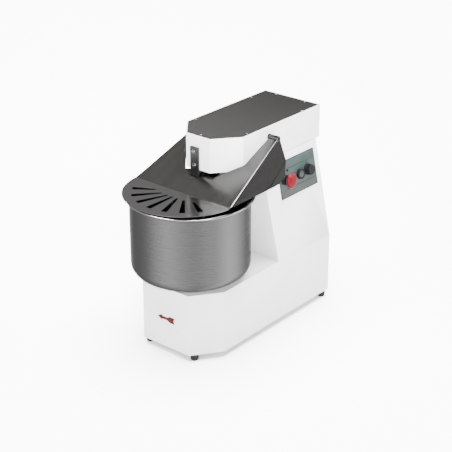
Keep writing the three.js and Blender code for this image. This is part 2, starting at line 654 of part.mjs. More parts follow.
// Side flange that hangs from the fold line and leans inwards towards the hinge.
function guardFlange(side) {
  const onFlange = (y, z) => [side * flangeX(z), y, z];
  const corners = [
    onFlange(GUARD.bendY + 1, slopeHeight(GUARD.bendY + 1)),
    onFlange(89, GUARD.plateTop),
    onFlange(278, GUARD.plateTop),
    onFlange(309, 458),
    onFlange(323, 497),
    onFlange(316, 546),
    onFlange(GUARD_REAR, slopeHeight(GUARD_REAR) - 4),
    onFlange(GUARD_REAR, slopeHeight(GUARD_REAR)),
  ];
  return sheet(side > 0 ? corners : corners.reverse(), STAINLESS_SHEET);
}

const bowlGuard = () => join(guardDisc(), guardSlope(), guardFlange(1), guardFlange(-1));

// Sleeve outside the head and the stub that turns in the head's side wall, along +Z.
function guardPivot() {
  const { inner, outer, sleeveRadius } = HINGE;
  const stub = 5;
  return turned([
    [0, inner - 24], [stub, inner - 24], [stub, inner], [sleeveRadius, inner], [sleeveRadius, outer],
    [4.6, outer], [4.6, outer - 8], [0, outer - 8],
  ], 20);
}

function guardBush() {
  const [bore, barrel, collar] = [5.3, 7.6, 12];
  const [wallIn, wallOut] = [HEAD.halfWidth - PAINTED_SHEET, HEAD.halfWidth + 0.6];
  return turned([
    [bore, wallIn - 4], [collar, wallIn - 4], [collar, wallIn - CLEARANCE], [barrel, wallIn - CLEARANCE],
    [barrel, wallOut], [bore, wallOut],
  ], 18);
}

// Disc with a flat, which frees the switch when the guard is down.
function guardCam() {
  const outline = Array.from({ length: 21 }, (_, i) => {
    const angle = mix(degrees(-60), degrees(240), i / 20);
    return [13 * Math.cos(angle), 13 * Math.sin(angle)];
  });
  return prism(outline, 0, 6, [circle(5.3, 20)]);
}

function guardSwitch() {
  const body = block(-14, 14, -5, 5, 0, 18);
  const roller = solid(geometryOf(rod(3, -4, 4, 16)).rotateX(Math.PI / 2).translate(0, 0, 20));
  const spacer = block(-10, 10, 4.9, 14.4, 3, 14);
  return join(body, roller, spacer);
}

// ---------------------------------------------------------------- controls
// Frame of the right side of the column: +Z out of the wall, +Y to the rear, -X up the wall.
const COLUMN_TILT = Math.atan((BASE.halfWidth - COLUMN.halfWidthAtHead) / (HEAD.bottom - BASE.top));
const CONTROLS = [
  { up: 219, y: 369, barrel: 11 }, // emergency stop
  { up: 216, y: 436, barrel: 11 }, // start button
  { up: 219, y: 471, barrel: 11 }, // timer
  { up: 242, y: 384, barrel: 2.4 }, // pilot lamp
];
const PANEL = { bottom: 165.7, top: 271.3, yFront: 350.5, yRear: 514, lean: 8, thickness: 1.5 };

function panelMatrix() {
  const turn = new THREE.Matrix4().makeRotationY(Math.PI / 2 - COLUMN_TILT);
  return turn.setPosition(BASE.halfWidth, 0, BASE.top);
}

function controlPanel() {
  const { bottom, top, yFront, yRear, lean, thickness } = PANEL;
  const outline = [[-bottom, yFront], [-bottom, yRear], [-top, yRear - lean], [-top, yFront - lean]];
  const holes = CONTROLS.map(({ up, y, barrel }) => circle(barrel + 0.5, 20, -up, y));
  return prism(outline, CLEARANCE, CLEARANCE + thickness, holes);
}

const FACE = CLEARANCE + PANEL.thickness + CLEARANCE;
const START_COLLAR = 9;
const ESTOP_STEM = 16;

// Threaded barrel through the panel, collar in front of it, contact block behind the wall.
function controlBody(collarRadius, collarHeight, bore, depth) {
  const collar = turned([
    [0, FACE], [collarRadius, FACE], [collarRadius, FACE + collarHeight - 1.5],
    [collarRadius - 1.5, FACE + collarHeight], [0, FACE + collarHeight],
  ], 24);
  const barrel = rod(11, -16, FACE + 1, 20);
  const contacts = block(-18, 18, -15, 15, -depth, -12);
  return cut(join(collar, barrel, contacts), rod(bore, -20, FACE + collarHeight + 5, 20));
}

function estopStem() {
  return turned([[0, -13], [7, -13], [7, FACE + ESTOP_STEM], [0, FACE + ESTOP_STEM]], 20);
}

function estopMushroom() {
  const z0 = FACE + ESTOP_STEM + CLEARANCE;
  return turned([
    [0, z0], [11, z0], [13, z0 + 3], [19.5, z0 + 5], [21, z0 + 8], [20.2, z0 + 11], [15, z0 + 13.6],
    [8, z0 + 14.8], [0, z0 + 15.2],
  ], 24);
}

function startButton() {
  const top = FACE + START_COLLAR - 0.8;
  return turned([[0, -8], [9.5, -8], [9.5, top - 0.8], [8.8, top], [0, top]], 28);
}

function timerKnob() {
  const z0 = FACE + 4 + CLEARANCE;
  const grips = 16;
  const outline = [];
  for (let i = 0; i < grips; i += 1) {
    for (const [share, radius] of [[-0.25, 15.6], [0.25, 15.6], [0.5, 14.6]]) {
      const angle = (2 * Math.PI * (i + share)) / grips;
      outline.push([radius * Math.cos(angle), radius * Math.sin(angle)]);
    }
  }
  const spindle = rod(3, -8, z0 + 1, 16);
  const pointer = block(-14, 0, -1, 1, z0 + 13, z0 + 14.6);
  return join(prism(outline, z0, z0 + 14), spindle, pointer);
}

function pilotLens() {
  return turned([[0, -4], [2.4, -4], [2.4, FACE], [4, FACE], [3.4, FACE + 1.6], [0, FACE + 2.2]], 20);
}

// ---------------------------------------------------------------- small parts
function cableGland() {
  const body = rod(13, 0.6, 8, 6);
  const barrel = rod(10, -14, 1, 20);
  const dome = turned([[0, 7], [11.5, 7], [11.5, 14], [8.5, 19], [0, 19]], 24);
  return cut(join(body, barrel, dome), rod(5, -20, 30, 20));
}

// Arrow that shows which way the bowl turns, flat on the front of the base.
function rotationArrow() {
  const outline = [
    [-30, 0], [-15, -7.5], [-15, -2.8], [10, -2.8], [17, -7.5], [29, -7.5],
    [22, 0], [29, 7.5], [17, 7.5], [10, 2.8], [-15, 2.8], [-15, 7.5],
  ];
  return prism(outline, 0, 0.5);
}

function contactorBox() {
  return join(block(-17, 17, -20, 20, 0, 56), block(-13, 13, -24, -19, 8, 48), block(-13, 13, 19, 24, 8, 48));
}

// ---------------------------------------------------------------- put the mixer together
add('base_shell', baseShell(), WHITE_PAINT);
add('base_floor', baseFloor(), WHITE_PAINT);
add('column_shell', columnShell(), WHITE_PAINT);
add('column_front_panel', columnFrontPanel(), WHITE_PAINT);
add('rear_cover', rearCover(), WHITE_PAINT);
add('head_shell', headShell(), WHITE_PAINT);
add('head_top_cover', headTopCover(), STAINLESS);
for (const [side, sign] of SIDES) {
  add(`foot_front_${side}`, rubberFoot(), BLACK_RUBBER, { at: [sign * FOOT.frontX, FOOT.front, 0] });
  add(`foot_rear_${side}`, rubberFoot(), BLACK_RUBBER, { at: [sign * FOOT.rearX, FOOT.rear, 0] });
}

const bowlAxis = new THREE.Group();
bowlAxis.position.y = BOWL.y;
mixer.add(bowlAxis);
add('bowl', bowl(), STAINLESS, { group: bowlAxis });
add('bowl_spindle', bowlSpindle(), TURNED_STEEL, { group: bowlAxis });
add('bowl_bearing_housing', bowlBearingHousing(), CAST_GREY, { group: bowlAxis });
for (const [name, z] of [['upper', HOUSING.top - 16.5], ['lower', HOUSING.bottom + 4.5]]) {
  add(`bowl_bearing_${name}`, bearing(15.3, 31, 16), TURNED_STEEL, { group: bowlAxis, at: [0, 0, z] });
}
add('bowl_sprocket', sprocket(TEETH.bowl, 15.3, 26, 14, 5), TURNED_STEEL,
  { group: bowlAxis, at: [0, 0, DRIVE.lowerChainZ] });
add('bowl_chain', chainLoop(TEETH.bowl, TEETH.bowlDrive, DRIVE.y - BOWL.y), CHAIN_STEEL,
  { group: bowlAxis, at: [0, 0, DRIVE.lowerChainZ] });

const driveAxis = new THREE.Group();
driveAxis.position.y = DRIVE.y;
mixer.add(driveAxis);
add('drive_shaft', rod(DRIVE.shaftRadius, 92, 568, INNER_SIDES), TURNED_STEEL, { group: driveAxis });
const shaftBore = DRIVE.shaftRadius + CLEARANCE;
add('bowl_drive_sprocket', sprocket(TEETH.bowlDrive, shaftBore, 15.6, 14), TURNED_STEEL,
  { group: driveAxis, at: [0, 0, DRIVE.lowerChainZ] });
add('spiral_drive_sprocket', sprocket(TEETH.spiralDrive, shaftBore, 24, 10, 4), TURNED_STEEL,
  { group: driveAxis, at: [0, 0, DRIVE.upperChainZ] });
add('drive_top_bearing', driveTopBearing(), CAST_GREY, { group: driveAxis });
add('gearmotor_mount', gearmotorMount(), ZINC_PLATE);
add('gearbox', gearbox(), CAST_GREY);
const motorFoot = GEARMOTOR.boxTop + MOTOR_FLANGE + CLEARANCE;
add('motor', motor(), CAST_GREY, { at: [0, GEARMOTOR.motorY, motorFoot] });
const fanFoot = motorFoot + MOTOR_LENGTH + CLEARANCE;
add('motor_fan_cover', motorFanCover(), BLACK_PLASTIC, { at: [0, GEARMOTOR.motorY, fanFoot] });

const spiralAxis = new THREE.Group();
spiralAxis.position.y = SPIRAL.y;
mixer.add(spiralAxis);
add('spiral_tool', spiralTool(), STAINLESS, { group: spiralAxis });
add('spiral_shaft', spiralShaft(), TURNED_STEEL, { group: spiralAxis });
add('spiral_bearing_housing', spiralBearingHousing(), CAST_GREY, { group: spiralAxis });
for (const [name, z] of [['upper', SPIRAL_HOUSING.top - 15.5], ['lower', SPIRAL_HOUSING.bottom + 2.5]]) {
  add(`spiral_bearing_${name}`, bearing(12.8, 26, 15), TURNED_STEEL, { group: spiralAxis, at: [0, 0, z] });
}
add('spiral_sprocket', sprocket(TEETH.spiral, shaftBore, 20, 10), TURNED_STEEL,
  { group: spiralAxis, at: [0, 0, DRIVE.upperChainZ] });
add('spiral_chain', chainLoop(TEETH.spiral, TEETH.spiralDrive, DRIVE.y - SPIRAL.y), CHAIN_STEEL,
  { group: spiralAxis, at: [0, 0, DRIVE.upperChainZ] });

add('bowl_chain_tensioner', chainTensioner(14, 36, 92, 22), WHITE_NYLON,
  { at: [69.8, 262, DRIVE.lowerChainZ], turn: [0, 0, Math.PI] });
add('spiral_chain_tensioner', chainTensioner(9, 22, 62, 8), WHITE_NYLON,
  { at: [61.6, 268, DRIVE.upperChainZ], turn: [Math.PI, 0, Math.PI] });

add('breaker_bar', breakerBar(), STAINLESS);
add('breaker_backing_plate', breakerBackingPlate(), WHITE_PAINT);
BREAKER.bolts.forEach((z, i) => {
  add(`breaker_bolt_${i === 0 ? 'upper' : 'lower'}`, bolt(4, 16, 5.8, 2.8), TURNED_STEEL,
    { at: [BREAKER.x, BREAKER.front - CLEARANCE, z], turn: [Math.PI / 2, 0, 0] });
});
const chamferTurn = Math.atan2(HEAD.chamfer, HEAD.halfWidth - HEAD.frontHalfWidth);
const chamferMiddle = [(HEAD.halfWidth + HEAD.frontHalfWidth) / 2, HEAD.front + HEAD.chamfer / 2];
add('guard_stop_plate', guardStopPlate(), STAINLESS,
  { at: [-chamferMiddle[0], chamferMiddle[1], HEAD.bottom], turn: [0, 0, Math.PI - chamferTurn] });

add('bowl_guard', bowlGuard(), STAINLESS);
for (const [side, sign] of SIDES) {
  const turn = [0, sign * Math.PI / 2, 0];
  add(`guard_pivot_${side}`, guardPivot(), STAINLESS, { at: [0, HINGE.y, HINGE.z], turn });
  add(`guard_bush_${side}`, guardBush(), BLACK_PLASTIC, { at: [0, HINGE.y, HINGE.z], turn });
}
add('guard_cam', guardCam(), WHITE_NYLON, { at: [-82, HINGE.y, HINGE.z], turn: ALONG_X });
add('guard_switch', guardSwitch(), BLACK_PLASTIC, { at: [-79, HINGE.y, 517], turn: [0, 0, Math.PI / 2] });

const sideWall = new THREE.Group();
sideWall.position.set(BASE.halfWidth, 0, BASE.top);
sideWall.rotation.y = Math.PI / 2 - COLUMN_TILT;
mixer.add(sideWall);
const places = CONTROLS.map(({ up, y }) => ({ group: sideWall, at: [-up, y, 0] }));
const [estopAt, startAt, timerAt, pilotAt] = places;
add('control_panel', controlPanel(), ALUMINIUM, { group: sideWall });
add('estop_body', controlBody(14.5, 9, 7.4, 46), BLACK_PLASTIC, estopAt);
add('estop_stem', estopStem(), BLACK_PLASTIC, estopAt);
add('estop_mushroom', estopMushroom(), RED_PLASTIC, estopAt);
add('start_bezel', controlBody(14.5, START_COLLAR, 9.9, 34), BLACK_PLASTIC, startAt);
add('start_button', startButton(), GREY_PLASTIC, startAt);
add('timer_body', controlBody(16, 4, 3.4, 34), BLACK_PLASTIC, timerAt);
add('timer_knob', timerKnob(), BLACK_PLASTIC, timerAt);
add('pilot_lens', pilotLens(), GREY_PLASTIC, pilotAt);

add('contactor_box', contactorBox(), GREY_PLASTIC, { at: [-92, 470, 300] });
add('cable_gland', cableGland(), BLACK_PLASTIC,
  { at: [GLAND.x, BASE.rear, GLAND.z], turn: [-Math.PI / 2, 0, 0] });
add('rotation_arrow', rotationArrow(), RED_FILM, { at: [3, -CLEARANCE, 106.5], turn: [Math.PI / 2, 0, 0] });

export default mixer;
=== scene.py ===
import functools
import json
import math

import bmesh
import bpy
from mathutils import Matrix, Vector
from mathutils.geometry import tessellate_polygon

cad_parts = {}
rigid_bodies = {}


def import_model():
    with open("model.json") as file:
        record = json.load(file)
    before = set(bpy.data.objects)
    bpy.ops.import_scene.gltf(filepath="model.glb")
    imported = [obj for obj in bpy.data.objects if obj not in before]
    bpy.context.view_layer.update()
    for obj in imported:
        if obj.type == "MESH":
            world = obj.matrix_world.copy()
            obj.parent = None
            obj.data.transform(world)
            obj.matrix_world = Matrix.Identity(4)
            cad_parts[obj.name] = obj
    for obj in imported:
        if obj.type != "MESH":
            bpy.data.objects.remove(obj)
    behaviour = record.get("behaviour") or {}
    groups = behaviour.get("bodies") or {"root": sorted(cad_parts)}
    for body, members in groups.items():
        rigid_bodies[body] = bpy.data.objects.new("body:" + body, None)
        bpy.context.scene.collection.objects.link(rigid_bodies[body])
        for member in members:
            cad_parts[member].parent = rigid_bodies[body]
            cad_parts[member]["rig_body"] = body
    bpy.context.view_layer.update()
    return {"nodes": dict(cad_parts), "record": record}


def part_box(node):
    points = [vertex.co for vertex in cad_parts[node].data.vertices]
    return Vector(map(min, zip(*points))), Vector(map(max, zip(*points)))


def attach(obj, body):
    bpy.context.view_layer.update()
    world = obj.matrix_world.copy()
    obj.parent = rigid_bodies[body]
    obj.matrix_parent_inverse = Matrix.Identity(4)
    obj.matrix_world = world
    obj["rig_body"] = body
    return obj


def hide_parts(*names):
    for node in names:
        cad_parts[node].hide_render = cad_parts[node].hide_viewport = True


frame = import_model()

# Shapes are built in millimetres in the CAD frame: X right, -Y front, +Z up. MM turns them into metres.
MM = 0.001
scene = bpy.context.scene
slot_of = {part["node"]: part["material_slot"] for part in frame["record"]["subparts"]}
body_of = {name: node["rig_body"] for name, node in frame["nodes"].items()}


def box_mm(node):
    low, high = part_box(node)
    return low / MM, high / MM


def middle(node):
    low, high = box_mm(node)
    return (low + high) / 2


# ---------------- camera
# The photograph's view: 39.87 degrees to the right of the front and 24.73 degrees above.
VIEW = {"azimuth": 39.87, "elevation": 24.73, "distance": 3456.8, "target": (8.6, -4.2, 293.9),
        "lens": 101.04}


def towards(azimuth, elevation):
    """Direction at an azimuth to the right of the front and a height above the horizon, in degrees."""
    a, e = math.radians(azimuth), math.radians(elevation)
    return Vector((math.sin(a) * math.cos(e), -math.cos(a) * math.cos(e), math.sin(e)))


def add_camera():
    back = towards(VIEW["azimuth"], VIEW["elevation"])
    data = bpy.data.cameras.new("camera")
    data.sensor_width = 36
    data.lens = VIEW["lens"]
    data.clip_start = 0.05
    data.clip_end = 200
    camera = bpy.data.objects.new("camera", data)
    camera.location = (Vector(VIEW["target"]) + back * VIEW["distance"]) * MM
    camera.rotation_euler = (-back).to_track_quat("-Z", "Y").to_euler()
    scene.collection.objects.link(camera)
    scene.camera = camera


add_camera()


# ---------------- materials
# The white and the steels are set for a bright studio, where a darker value still reads as white.
PAINT = (0.42, 0.427, 0.424)
STEEL = (0.062, 0.0617, 0.0605)
EDGE_TINT = (0.45, 0.45, 0.45, 1)  # the steels darken towards grazing views


def add_node(tree, kind, inputs=None, **settings):
    """A shader node whose inputs are constants or the outputs of other nodes."""
    made = tree.nodes.new("ShaderNode" + kind)
    for name, value in settings.items():
        setattr(made, name, value)
    for name, value in (inputs or {}).items():
        if isinstance(value, bpy.types.NodeSocket):
            tree.links.new(value, made.inputs[name])
        else:
            made.inputs[name].default_value = value
    return made


class Finish:
    """A procedural material on the Principled shader, with the record slot that it stands for."""

    def __init__(self, name, colour, roughness, metallic=0.0, slot=None, **constants):
        self.slot = slot or name
        self.material = bpy.data.materials.new(name)
        self.material.use_nodes = True
        self.tree = self.material.node_tree
        self.shader = self.tree.nodes["Principled BSDF"]
        self.shader.inputs["Base Color"].default_value = (*colour, 1)
        self.shader.inputs["Roughness"].default_value = roughness
        self.shader.inputs["Metallic"].default_value = metallic
        for constant, value in constants.items():
            self.shader.inputs[constant.replace("_", " ")].default_value = value
        self.position = self.node("TexCoord").outputs["Object"]

    def node(self, kind, inputs=None, **settings):
        return add_node(self.tree, kind, inputs, **settings)

    def link(self, output, name):
        self.tree.links.new(output, self.shader.inputs[name])

    def parts(self, vector):
        return self.node("SeparateXYZ", {0: vector}).outputs

    def vector(self, x, y, z):
        return self.node("CombineXYZ", {0: x, 1: y, 2: z}).outputs[0]

    def noise(self, vector, scale, detail=2.0, roughness=0.5):
        inputs = {"Vector": vector, "Scale": scale, "Detail": detail, "Roughness": roughness}
        return self.node("TexNoise", inputs).outputs["Fac"]

    def span(self, value, low, high, from_low=0.0, from_high=1.0):
        inputs = {"Value": value, "From Min": from_low, "From Max": from_high, "To Min": low, "To Max": high}
        return self.node("MapRange", inputs).outputs[0]

    def maths(self, operation, first, second=0.0):
        return self.node("Math", {0: first, 1: second}, operation=operation).outputs[0]

    def times(self, first, second):
        return self.maths("MULTIPLY", first, second)

    def weighted(self, first, share, second):
        """The first value's share and the second value's rest, added."""
        return self.maths("ADD", self.times(first, share), self.times(second, 1 - share))

    def blend(self, factor, colour, spread):
        """The colour, darker to lighter by the spread as the factor rises."""
        ends = {0: factor, 6: (*tinted(colour, 1 - spread), 1), 7: (*tinted(colour, 1 + spread), 1)}
        return self.node("Mix", ends, data_type="RGBA").outputs[2]

    def set_colour(self, factor, colour, spread, edge=0.3):
        """Only the middle of the noise counts, from edge to 1 - edge."""
        self.link(self.blend(self.span(factor, 0, 1, edge, 1 - edge), colour, spread), "Base Color")

    def set_roughness(self, factor, low, high):
        self.link(self.span(factor, low, high), "Roughness")

    def across_grain(self, direction):
        """Stretches highlights along the given direction of the piece, across its grain."""
        tangent = self.node("VectorTransform", {"Vector": direction}, vector_type="VECTOR",
                            convert_from="OBJECT", convert_to="WORLD").outputs[0]
        self.link(tangent, "Tangent")

    def set_bump(self, height, strength, distance):
        bump = self.node("Bump", {"Height": height, "Strength": strength, "Distance": distance})
        self.link(bump.outputs[0], "Normal")


def tinted(colour, factor):
    return tuple(min(1.0, channel * factor) for channel in colour)


def powder_coat():
    """White powder coat: fine orange peel, a faint unevenness and slightly duller patches."""
    finish = Finish("white_paint", PAINT, 0.36, Specular_IOR_Level=0.35)
    peel = finish.noise(finish.position, 620, 2, 0.45)
    cloud = finish.noise(finish.position, 7, 3)
    finish.set_colour(cloud, PAINT, 0.03, 0.35)
    finish.set_roughness(cloud, 0.30, 0.44)
    finish.set_bump(peel, 0.22, 0.00012)
    return finish


def brushed_sheet(name, colour, roughness, upright_shade=1.0, sloping_shade=1.0, painted_fade=None):
    """Brushed stainless sheet: long fine scratches along Y, with soft lighter and darker streaks.

    Vertical and slanted faces are painted darker than level ones, as painted shade, by the shares given for
    them. A range along Y, when given, paints a reflection gradient: the sheet darkens between its two places,
    to the share that it gives last.
    """
    finish = Finish(name, colour, roughness, 1.0, "stainless", Anisotropic=0.6, Specular_Tint=EDGE_TINT)
    place = finish.parts(finish.position)
    facing = finish.parts(finish.node("TexCoord").outputs["Normal"])
    sideways = finish.maths("GREATER_THAN", finish.maths("ABSOLUTE", facing[0]), 0.6)
    across = finish.maths("ADD", place[0], finish.times(place[2], sideways))

    def along_grain(fine, long):
        return finish.vector(finish.times(across, fine), finish.times(place[1], long),
                             finish.times(place[2], long))

    scratches = finish.noise(along_grain(2600, 14), 1, 3, 0.6)
    streaks = finish.noise(along_grain(60, 2.2), 1, 2, 0.5)
    both = finish.weighted(scratches, 0.75, streaks)
    # Painted shade: vertical and slanted faces are made darker than level ones by the shares given.
    level = finish.maths("GREATER_THAN", finish.maths("ABSOLUTE", facing[2]), 0.97)
    tone = finish.maths("ADD", finish.times(level, 1 - sloping_shade), sloping_shade)
    tone = finish.times(tone, finish.span(sideways, 1.0, upright_shade / sloping_shade))
    # A painted reflection gradient: the sheet darkens between two places along Y.
    if painted_fade:
        tone = finish.times(tone, finish.span(place[1], 1.0, painted_fade[2], painted_fade[0], painted_fade[1]))
    grain = finish.blend(finish.span(both, 0, 1, 0.25, 0.75), colour, 0.05)
    shaded = finish.node("VectorMath", {0: grain, "Scale": tone}, operation="SCALE").outputs[0]
    finish.link(shaded, "Base Color")
    finish.set_roughness(streaks, roughness - 0.02, roughness + 0.02)
    finish.set_bump(scratches, 0.02, 0.00001)
    finish.across_grain((1, 0, 0))
    return finish


def spun_steel(name, colour, roughness, slot=None):
    """Steel spun or turned about the piece's own Z axis: rings that run round it."""
    finish = Finish(name, colour, roughness, 1.0, slot, Anisotropic=0.7, Anisotropic_Rotation=0.25,
                    Specular_Tint=EDGE_TINT)
    x, y, z = finish.parts(finish.position)
    radius = finish.maths("SQRT", finish.maths("ADD", finish.times(x, x), finish.times(y, y)))
    angle = finish.maths("ARCTAN2", y, x)
    along = finish.vector(finish.times(radius, 1500), finish.times(angle, 1.6), finish.times(z, 1500))
    rings = finish.noise(along, 1, 3, 0.6)
    coarse = finish.node("VectorMath", {0: along, 1: (0.06, 1, 0.06)}, operation="MULTIPLY")
    both = finish.weighted(rings, 0.88, finish.noise(coarse.outputs[0], 1, 2))
    finish.set_colour(both, colour, 0.015)
    finish.set_roughness(both, roughness - 0.004, roughness + 0.014)
    finish.set_bump(rings, 0.005, 0.00001)
    finish.link(finish.node("Tangent", direction_type="RADIAL", axis="Z").outputs[0], "Tangent")
    return finish


def plain_metal(name, colour, roughness, wear=0.12, slot=None):
    """Machined or plated metal with cloudy handling marks."""
    finish = Finish(name, colour, roughness, 1.0, slot, Specular_Tint=EDGE_TINT)
    cloud = finish.noise(finish.position, 60, 4, 0.6)
    fine = finish.noise(finish.position, 900, 2)
    finish.set_colour(cloud, colour, wear)
    finish.set_roughness(cloud, roughness - 0.08, roughness + 0.12)
    finish.set_bump(fine, 0.15, 0.00004)
    return finish


def moulded(name, colour, roughness, grain=1400, bump=0.3, depth=0.00005, gloss=0.5, slot=None):
    """Moulded plastic or rubber: a fine spark-eroded texture and slightly shiny patches."""
    finish = Finish(name, colour, roughness, slot=slot, Specular_IOR_Level=gloss)
    fine = finish.noise(finish.position, grain, 2, 0.6)
    cloud = finish.noise(finish.position, 45, 3)
    finish.set_colour(cloud, colour, 0.12)
    finish.set_roughness(cloud, roughness - 0.07, roughness + 0.1)
    finish.set_bump(fine, bump, depth)
    return finish


def anodised_panel():
    """Front plate of the controls: satin grey-green film over a bare grey lower band, with a fine grain."""
    colour, bare = (0.0135, 0.021, 0.0208), (0.0145, 0.0168, 0.016)
    band_top = 0.3865  # metres above the floor
    finish = Finish("panel_aluminium", colour, 0.42, Specular_IOR_Level=0.15)
    along_y = finish.node("Mapping", {"Vector": finish.position, "Scale": (2400, 30, 2400)})
    grain = finish.noise(along_y.outputs[0], 1, 2, 0.5)
    both = finish.weighted(grain, 0.5, finish.noise(finish.position, 24, 3))
    shade = finish.span(both, 0, 1, 0.35, 0.65)
    above = finish.maths("GREATER_THAN", finish.parts(finish.position)[2], band_top)
    layers = {0: above, 6: finish.blend(shade, bare, 0.15), 7: finish.blend(shade, colour, 0.1)}
    finish.link(finish.node("Mix", layers, data_type="RGBA").outputs[2], "Base Color")
    finish.set_roughness(both, 0.34, 0.5)
    finish.set_bump(grain, 0.08, 0.00003)
    return finish


FINISHES = {finish.slot: finish for finish in (
    powder_coat(),
    brushed_sheet("stainless", STEEL, 0.26),
    spun_steel("bowl_steel", (0.064, 0.064, 0.0636), 0.27),
    spun_steel("turned_steel", (0.11, 0.11, 0.109), 0.24),
    plain_metal("chain_steel", (0.045, 0.042, 0.038), 0.38, 0.25),
    moulded("cast_grey", (0.05, 0.056, 0.062), 0.5, 380, 0.5, 0.0002),
    plain_metal("zinc_plate", (0.12, 0.123, 0.126), 0.36, 0.2),
    anodised_panel(),
    moulded("black_rubber", (0.006, 0.006, 0.006), 0.72, 700, 0.4, 0.0001, 0.1),
    moulded("black_plastic", (0.0034, 0.0037, 0.004), 0.42, gloss=0.05),
    moulded("grey_plastic", (0.014, 0.016, 0.016), 0.4, gloss=0.12),
    moulded("red_plastic", (0.050, 0.0016, 0.0034), 0.30, 900, 0.1, 0.00003, 0.06),
    moulded("white_nylon", (0.35, 0.34, 0.31), 0.45),
    moulded("red_film", (0.035, 0.001, 0.0016), 0.38, 1200, 0.1, 0.00002, 0.1),
)}
# Near-black film: the panel's print, and on the screws a dark cross for the shade in each cross recess,
# painted shade.
PRINT_AND_RECESS_SHADE = moulded("panel_print", (0.005, 0.0055, 0.006), 0.45, 1200, 0.1, 0.00002, 0.1, "black_plastic")
# Steel for the lower half of the bowl's bead, brighter than the bowl: partly real polish, partly painted
# highlight.
POLISH_AND_HIGHLIGHT_STEEL = plain_metal("polish_and_painted_highlight", (0.15, 0.15, 0.1485), 0.14, 0.06)
SCREW_STEEL = plain_metal("screw_steel", (0.16, 0.16, 0.158), 0.24, 0.1, "turned_steel")
# The guard's vertical flanges and slanted plate are painted darker than its level plate: painted shade.
GUARD_STEEL = brushed_sheet("guard_steel", tinted(STEEL, 1.5), 0.20, upright_shade=0.33, sloping_shade=0.64)
# The top cover is painted darker towards its rear: a painted reflection gradient.
COVER_STEEL = brushed_sheet("cover_steel", tinted(STEEL, 1.62), 0.26, painted_fade=(-0.08, 0.29, 0.58))
SLEEVE_STEEL = spun_steel("sleeve_steel", (0.05, 0.05, 0.0495), 0.2, "stainless")
# Near-black steel for the top of the bowl's bead: painted shade.
BEAD_SHADE_STEEL = plain_metal("bead_painted_shade", (0.03, 0.03, 0.0297), 0.14, 0.06)
# Brighter steel on the folds between the slanted plate and the side flanges: painted highlight.
FOLD_HIGHLIGHT_STEEL = plain_metal("fold_painted_highlight", (0.15, 0.15, 0.148), 0.28, 0.06)
EDGE_STEEL = plain_metal("edge_steel", (0.085, 0.085, 0.084), 0.14, 0.06)
# Near-black steel along the crease in each side flange: a painted shade line.
CREASE_SHADE_STEEL = plain_metal("crease_painted_shade", (0.012, 0.012, 0.0118), 0.3, 0.1)


# ---------------- mesh helpers
def rounded(points, closed=True, steps=5):
    """Outline of (x, y) or (x, y, radius) points, with an arc at each point that has a radius."""
    outline = []
    count = len(points)
    for i, point in enumerate(points):
        radius = point[2] if len(point) > 2 else 0
        if not radius or (not closed and i in (0, count - 1)):
            outline.append((point[0], point[1]))
            continue
        here = Vector(point[:2])
        before = (Vector(points[i - 1][:2]) - here).normalized()
        after = (Vector(points[(i + 1) % count][:2]) - here).normalized()
        half = before.angle(after) / 2
        centre = here + (before + after).normalized() * (radius / math.sin(half))
        start = here + before * (radius / math.tan(half)) - centre
        end = here + after * (radius / math.tan(half)) - centre
        sweep = math.copysign(math.pi - 2 * half, start.x * end.y - start.y * end.x)
        for k in range(steps + 1):
            turn = Matrix.Rotation(sweep * k / steps, 2)
            outline.append(tuple(centre + turn @ start))
    return outline


def arc(centre, radius, start, end, steps):
    """Points on a circle from angle start to angle end, in degrees."""
    angles = [math.radians(start + (end - start) * k / steps) for k in range(steps + 1)]
    return [(centre[0] + radius * math.cos(a), centre[1] + radius * math.sin(a)) for a in angles]


def lathe(profile, segments=96):
    """Profile of (radius, z) points turned about Z. It closes on itself unless it starts on the axis."""
    bm = bmesh.new()
    rings = []
    for radius, z in profile:
        if radius < 1e-6:
            rings.append([bm.verts.new((0, 0, z))])
            continue
        angles = [2 * math.pi * i / segments for i in range(segments)]
        rings.append([bm.verts.new((radius * math.cos(a), radius * math.sin(a), z)) for a in angles])
    pairs = list(zip(rings, rings[1:]))
    if len(rings[0]) > 1:
        pairs.append((rings[-1], rings[0]))
    for low, high in pairs:
        for i in range(segments):
            j = (i + 1) % segments
            corners = [low[i % len(low)], low[j % len(low)], high[j % len(high)], high[i % len(high)]]
            face = [v for k, v in enumerate(corners) if v not in corners[:k]]
            if len(face) > 2:
                bm.faces.new(face)
    return bm


def turned(points, segments=96, steps=5, closed=False):
    """Lathe piece from (radius, z) points, with an arc at each point that has a radius of its own."""
    return lathe(rounded(points, closed, steps), segments)


def stack(rings):
    """Rings of the same number of (x, y, z) points, joined and closed at both ends."""
    bm = bmesh.new()
    made = [[bm.verts.new(point) for point in ring] for ring in rings]
    count = len(made[0])
    for low, high in zip(made, made[1:]):
        for i in range(count):
            j = (i + 1) % count
            bm.faces.new([low[i], low[j], high[j], high[i]])
    bm.faces.new(made[0][::-1])
    bm.faces.new(made[-1])
    return bm


def inset(outline, distance):
    """Outline moved inwards by the same distance on every edge, for a counter-clockwise outline."""
    inner = []
    count = len(outline)
    for i in range(count):
        here = Vector(outline[i])
        before = (here - Vector(outline[i - 1])).normalized()
        after = (Vector(outline[(i + 1) % count]) - here).normalized()
        normal = Vector((-before.y - after.y, before.x + after.x)).normalized()
        share = max(0.2, normal.dot(Vector((-after.y, after.x))))
        inner.append(tuple(here + normal * (distance / share)))
    return inner


def slab(outline, z0, z1, edge=0.5, steps=2):
    """Flat piece with the given outline and rounded top and bottom edges."""
    rings = []
    for z, direction in ((z0, 1), (z1, -1)):
        for k in range(steps + 1)[::direction]:
            angle = math.pi / 2 * k / steps
            ring = inset(outline, edge * (1 - math.sin(angle)))
            rings.append([(x, y, z + direction * edge * (1 - math.cos(angle))) for x, y in ring])
    return stack(rings)


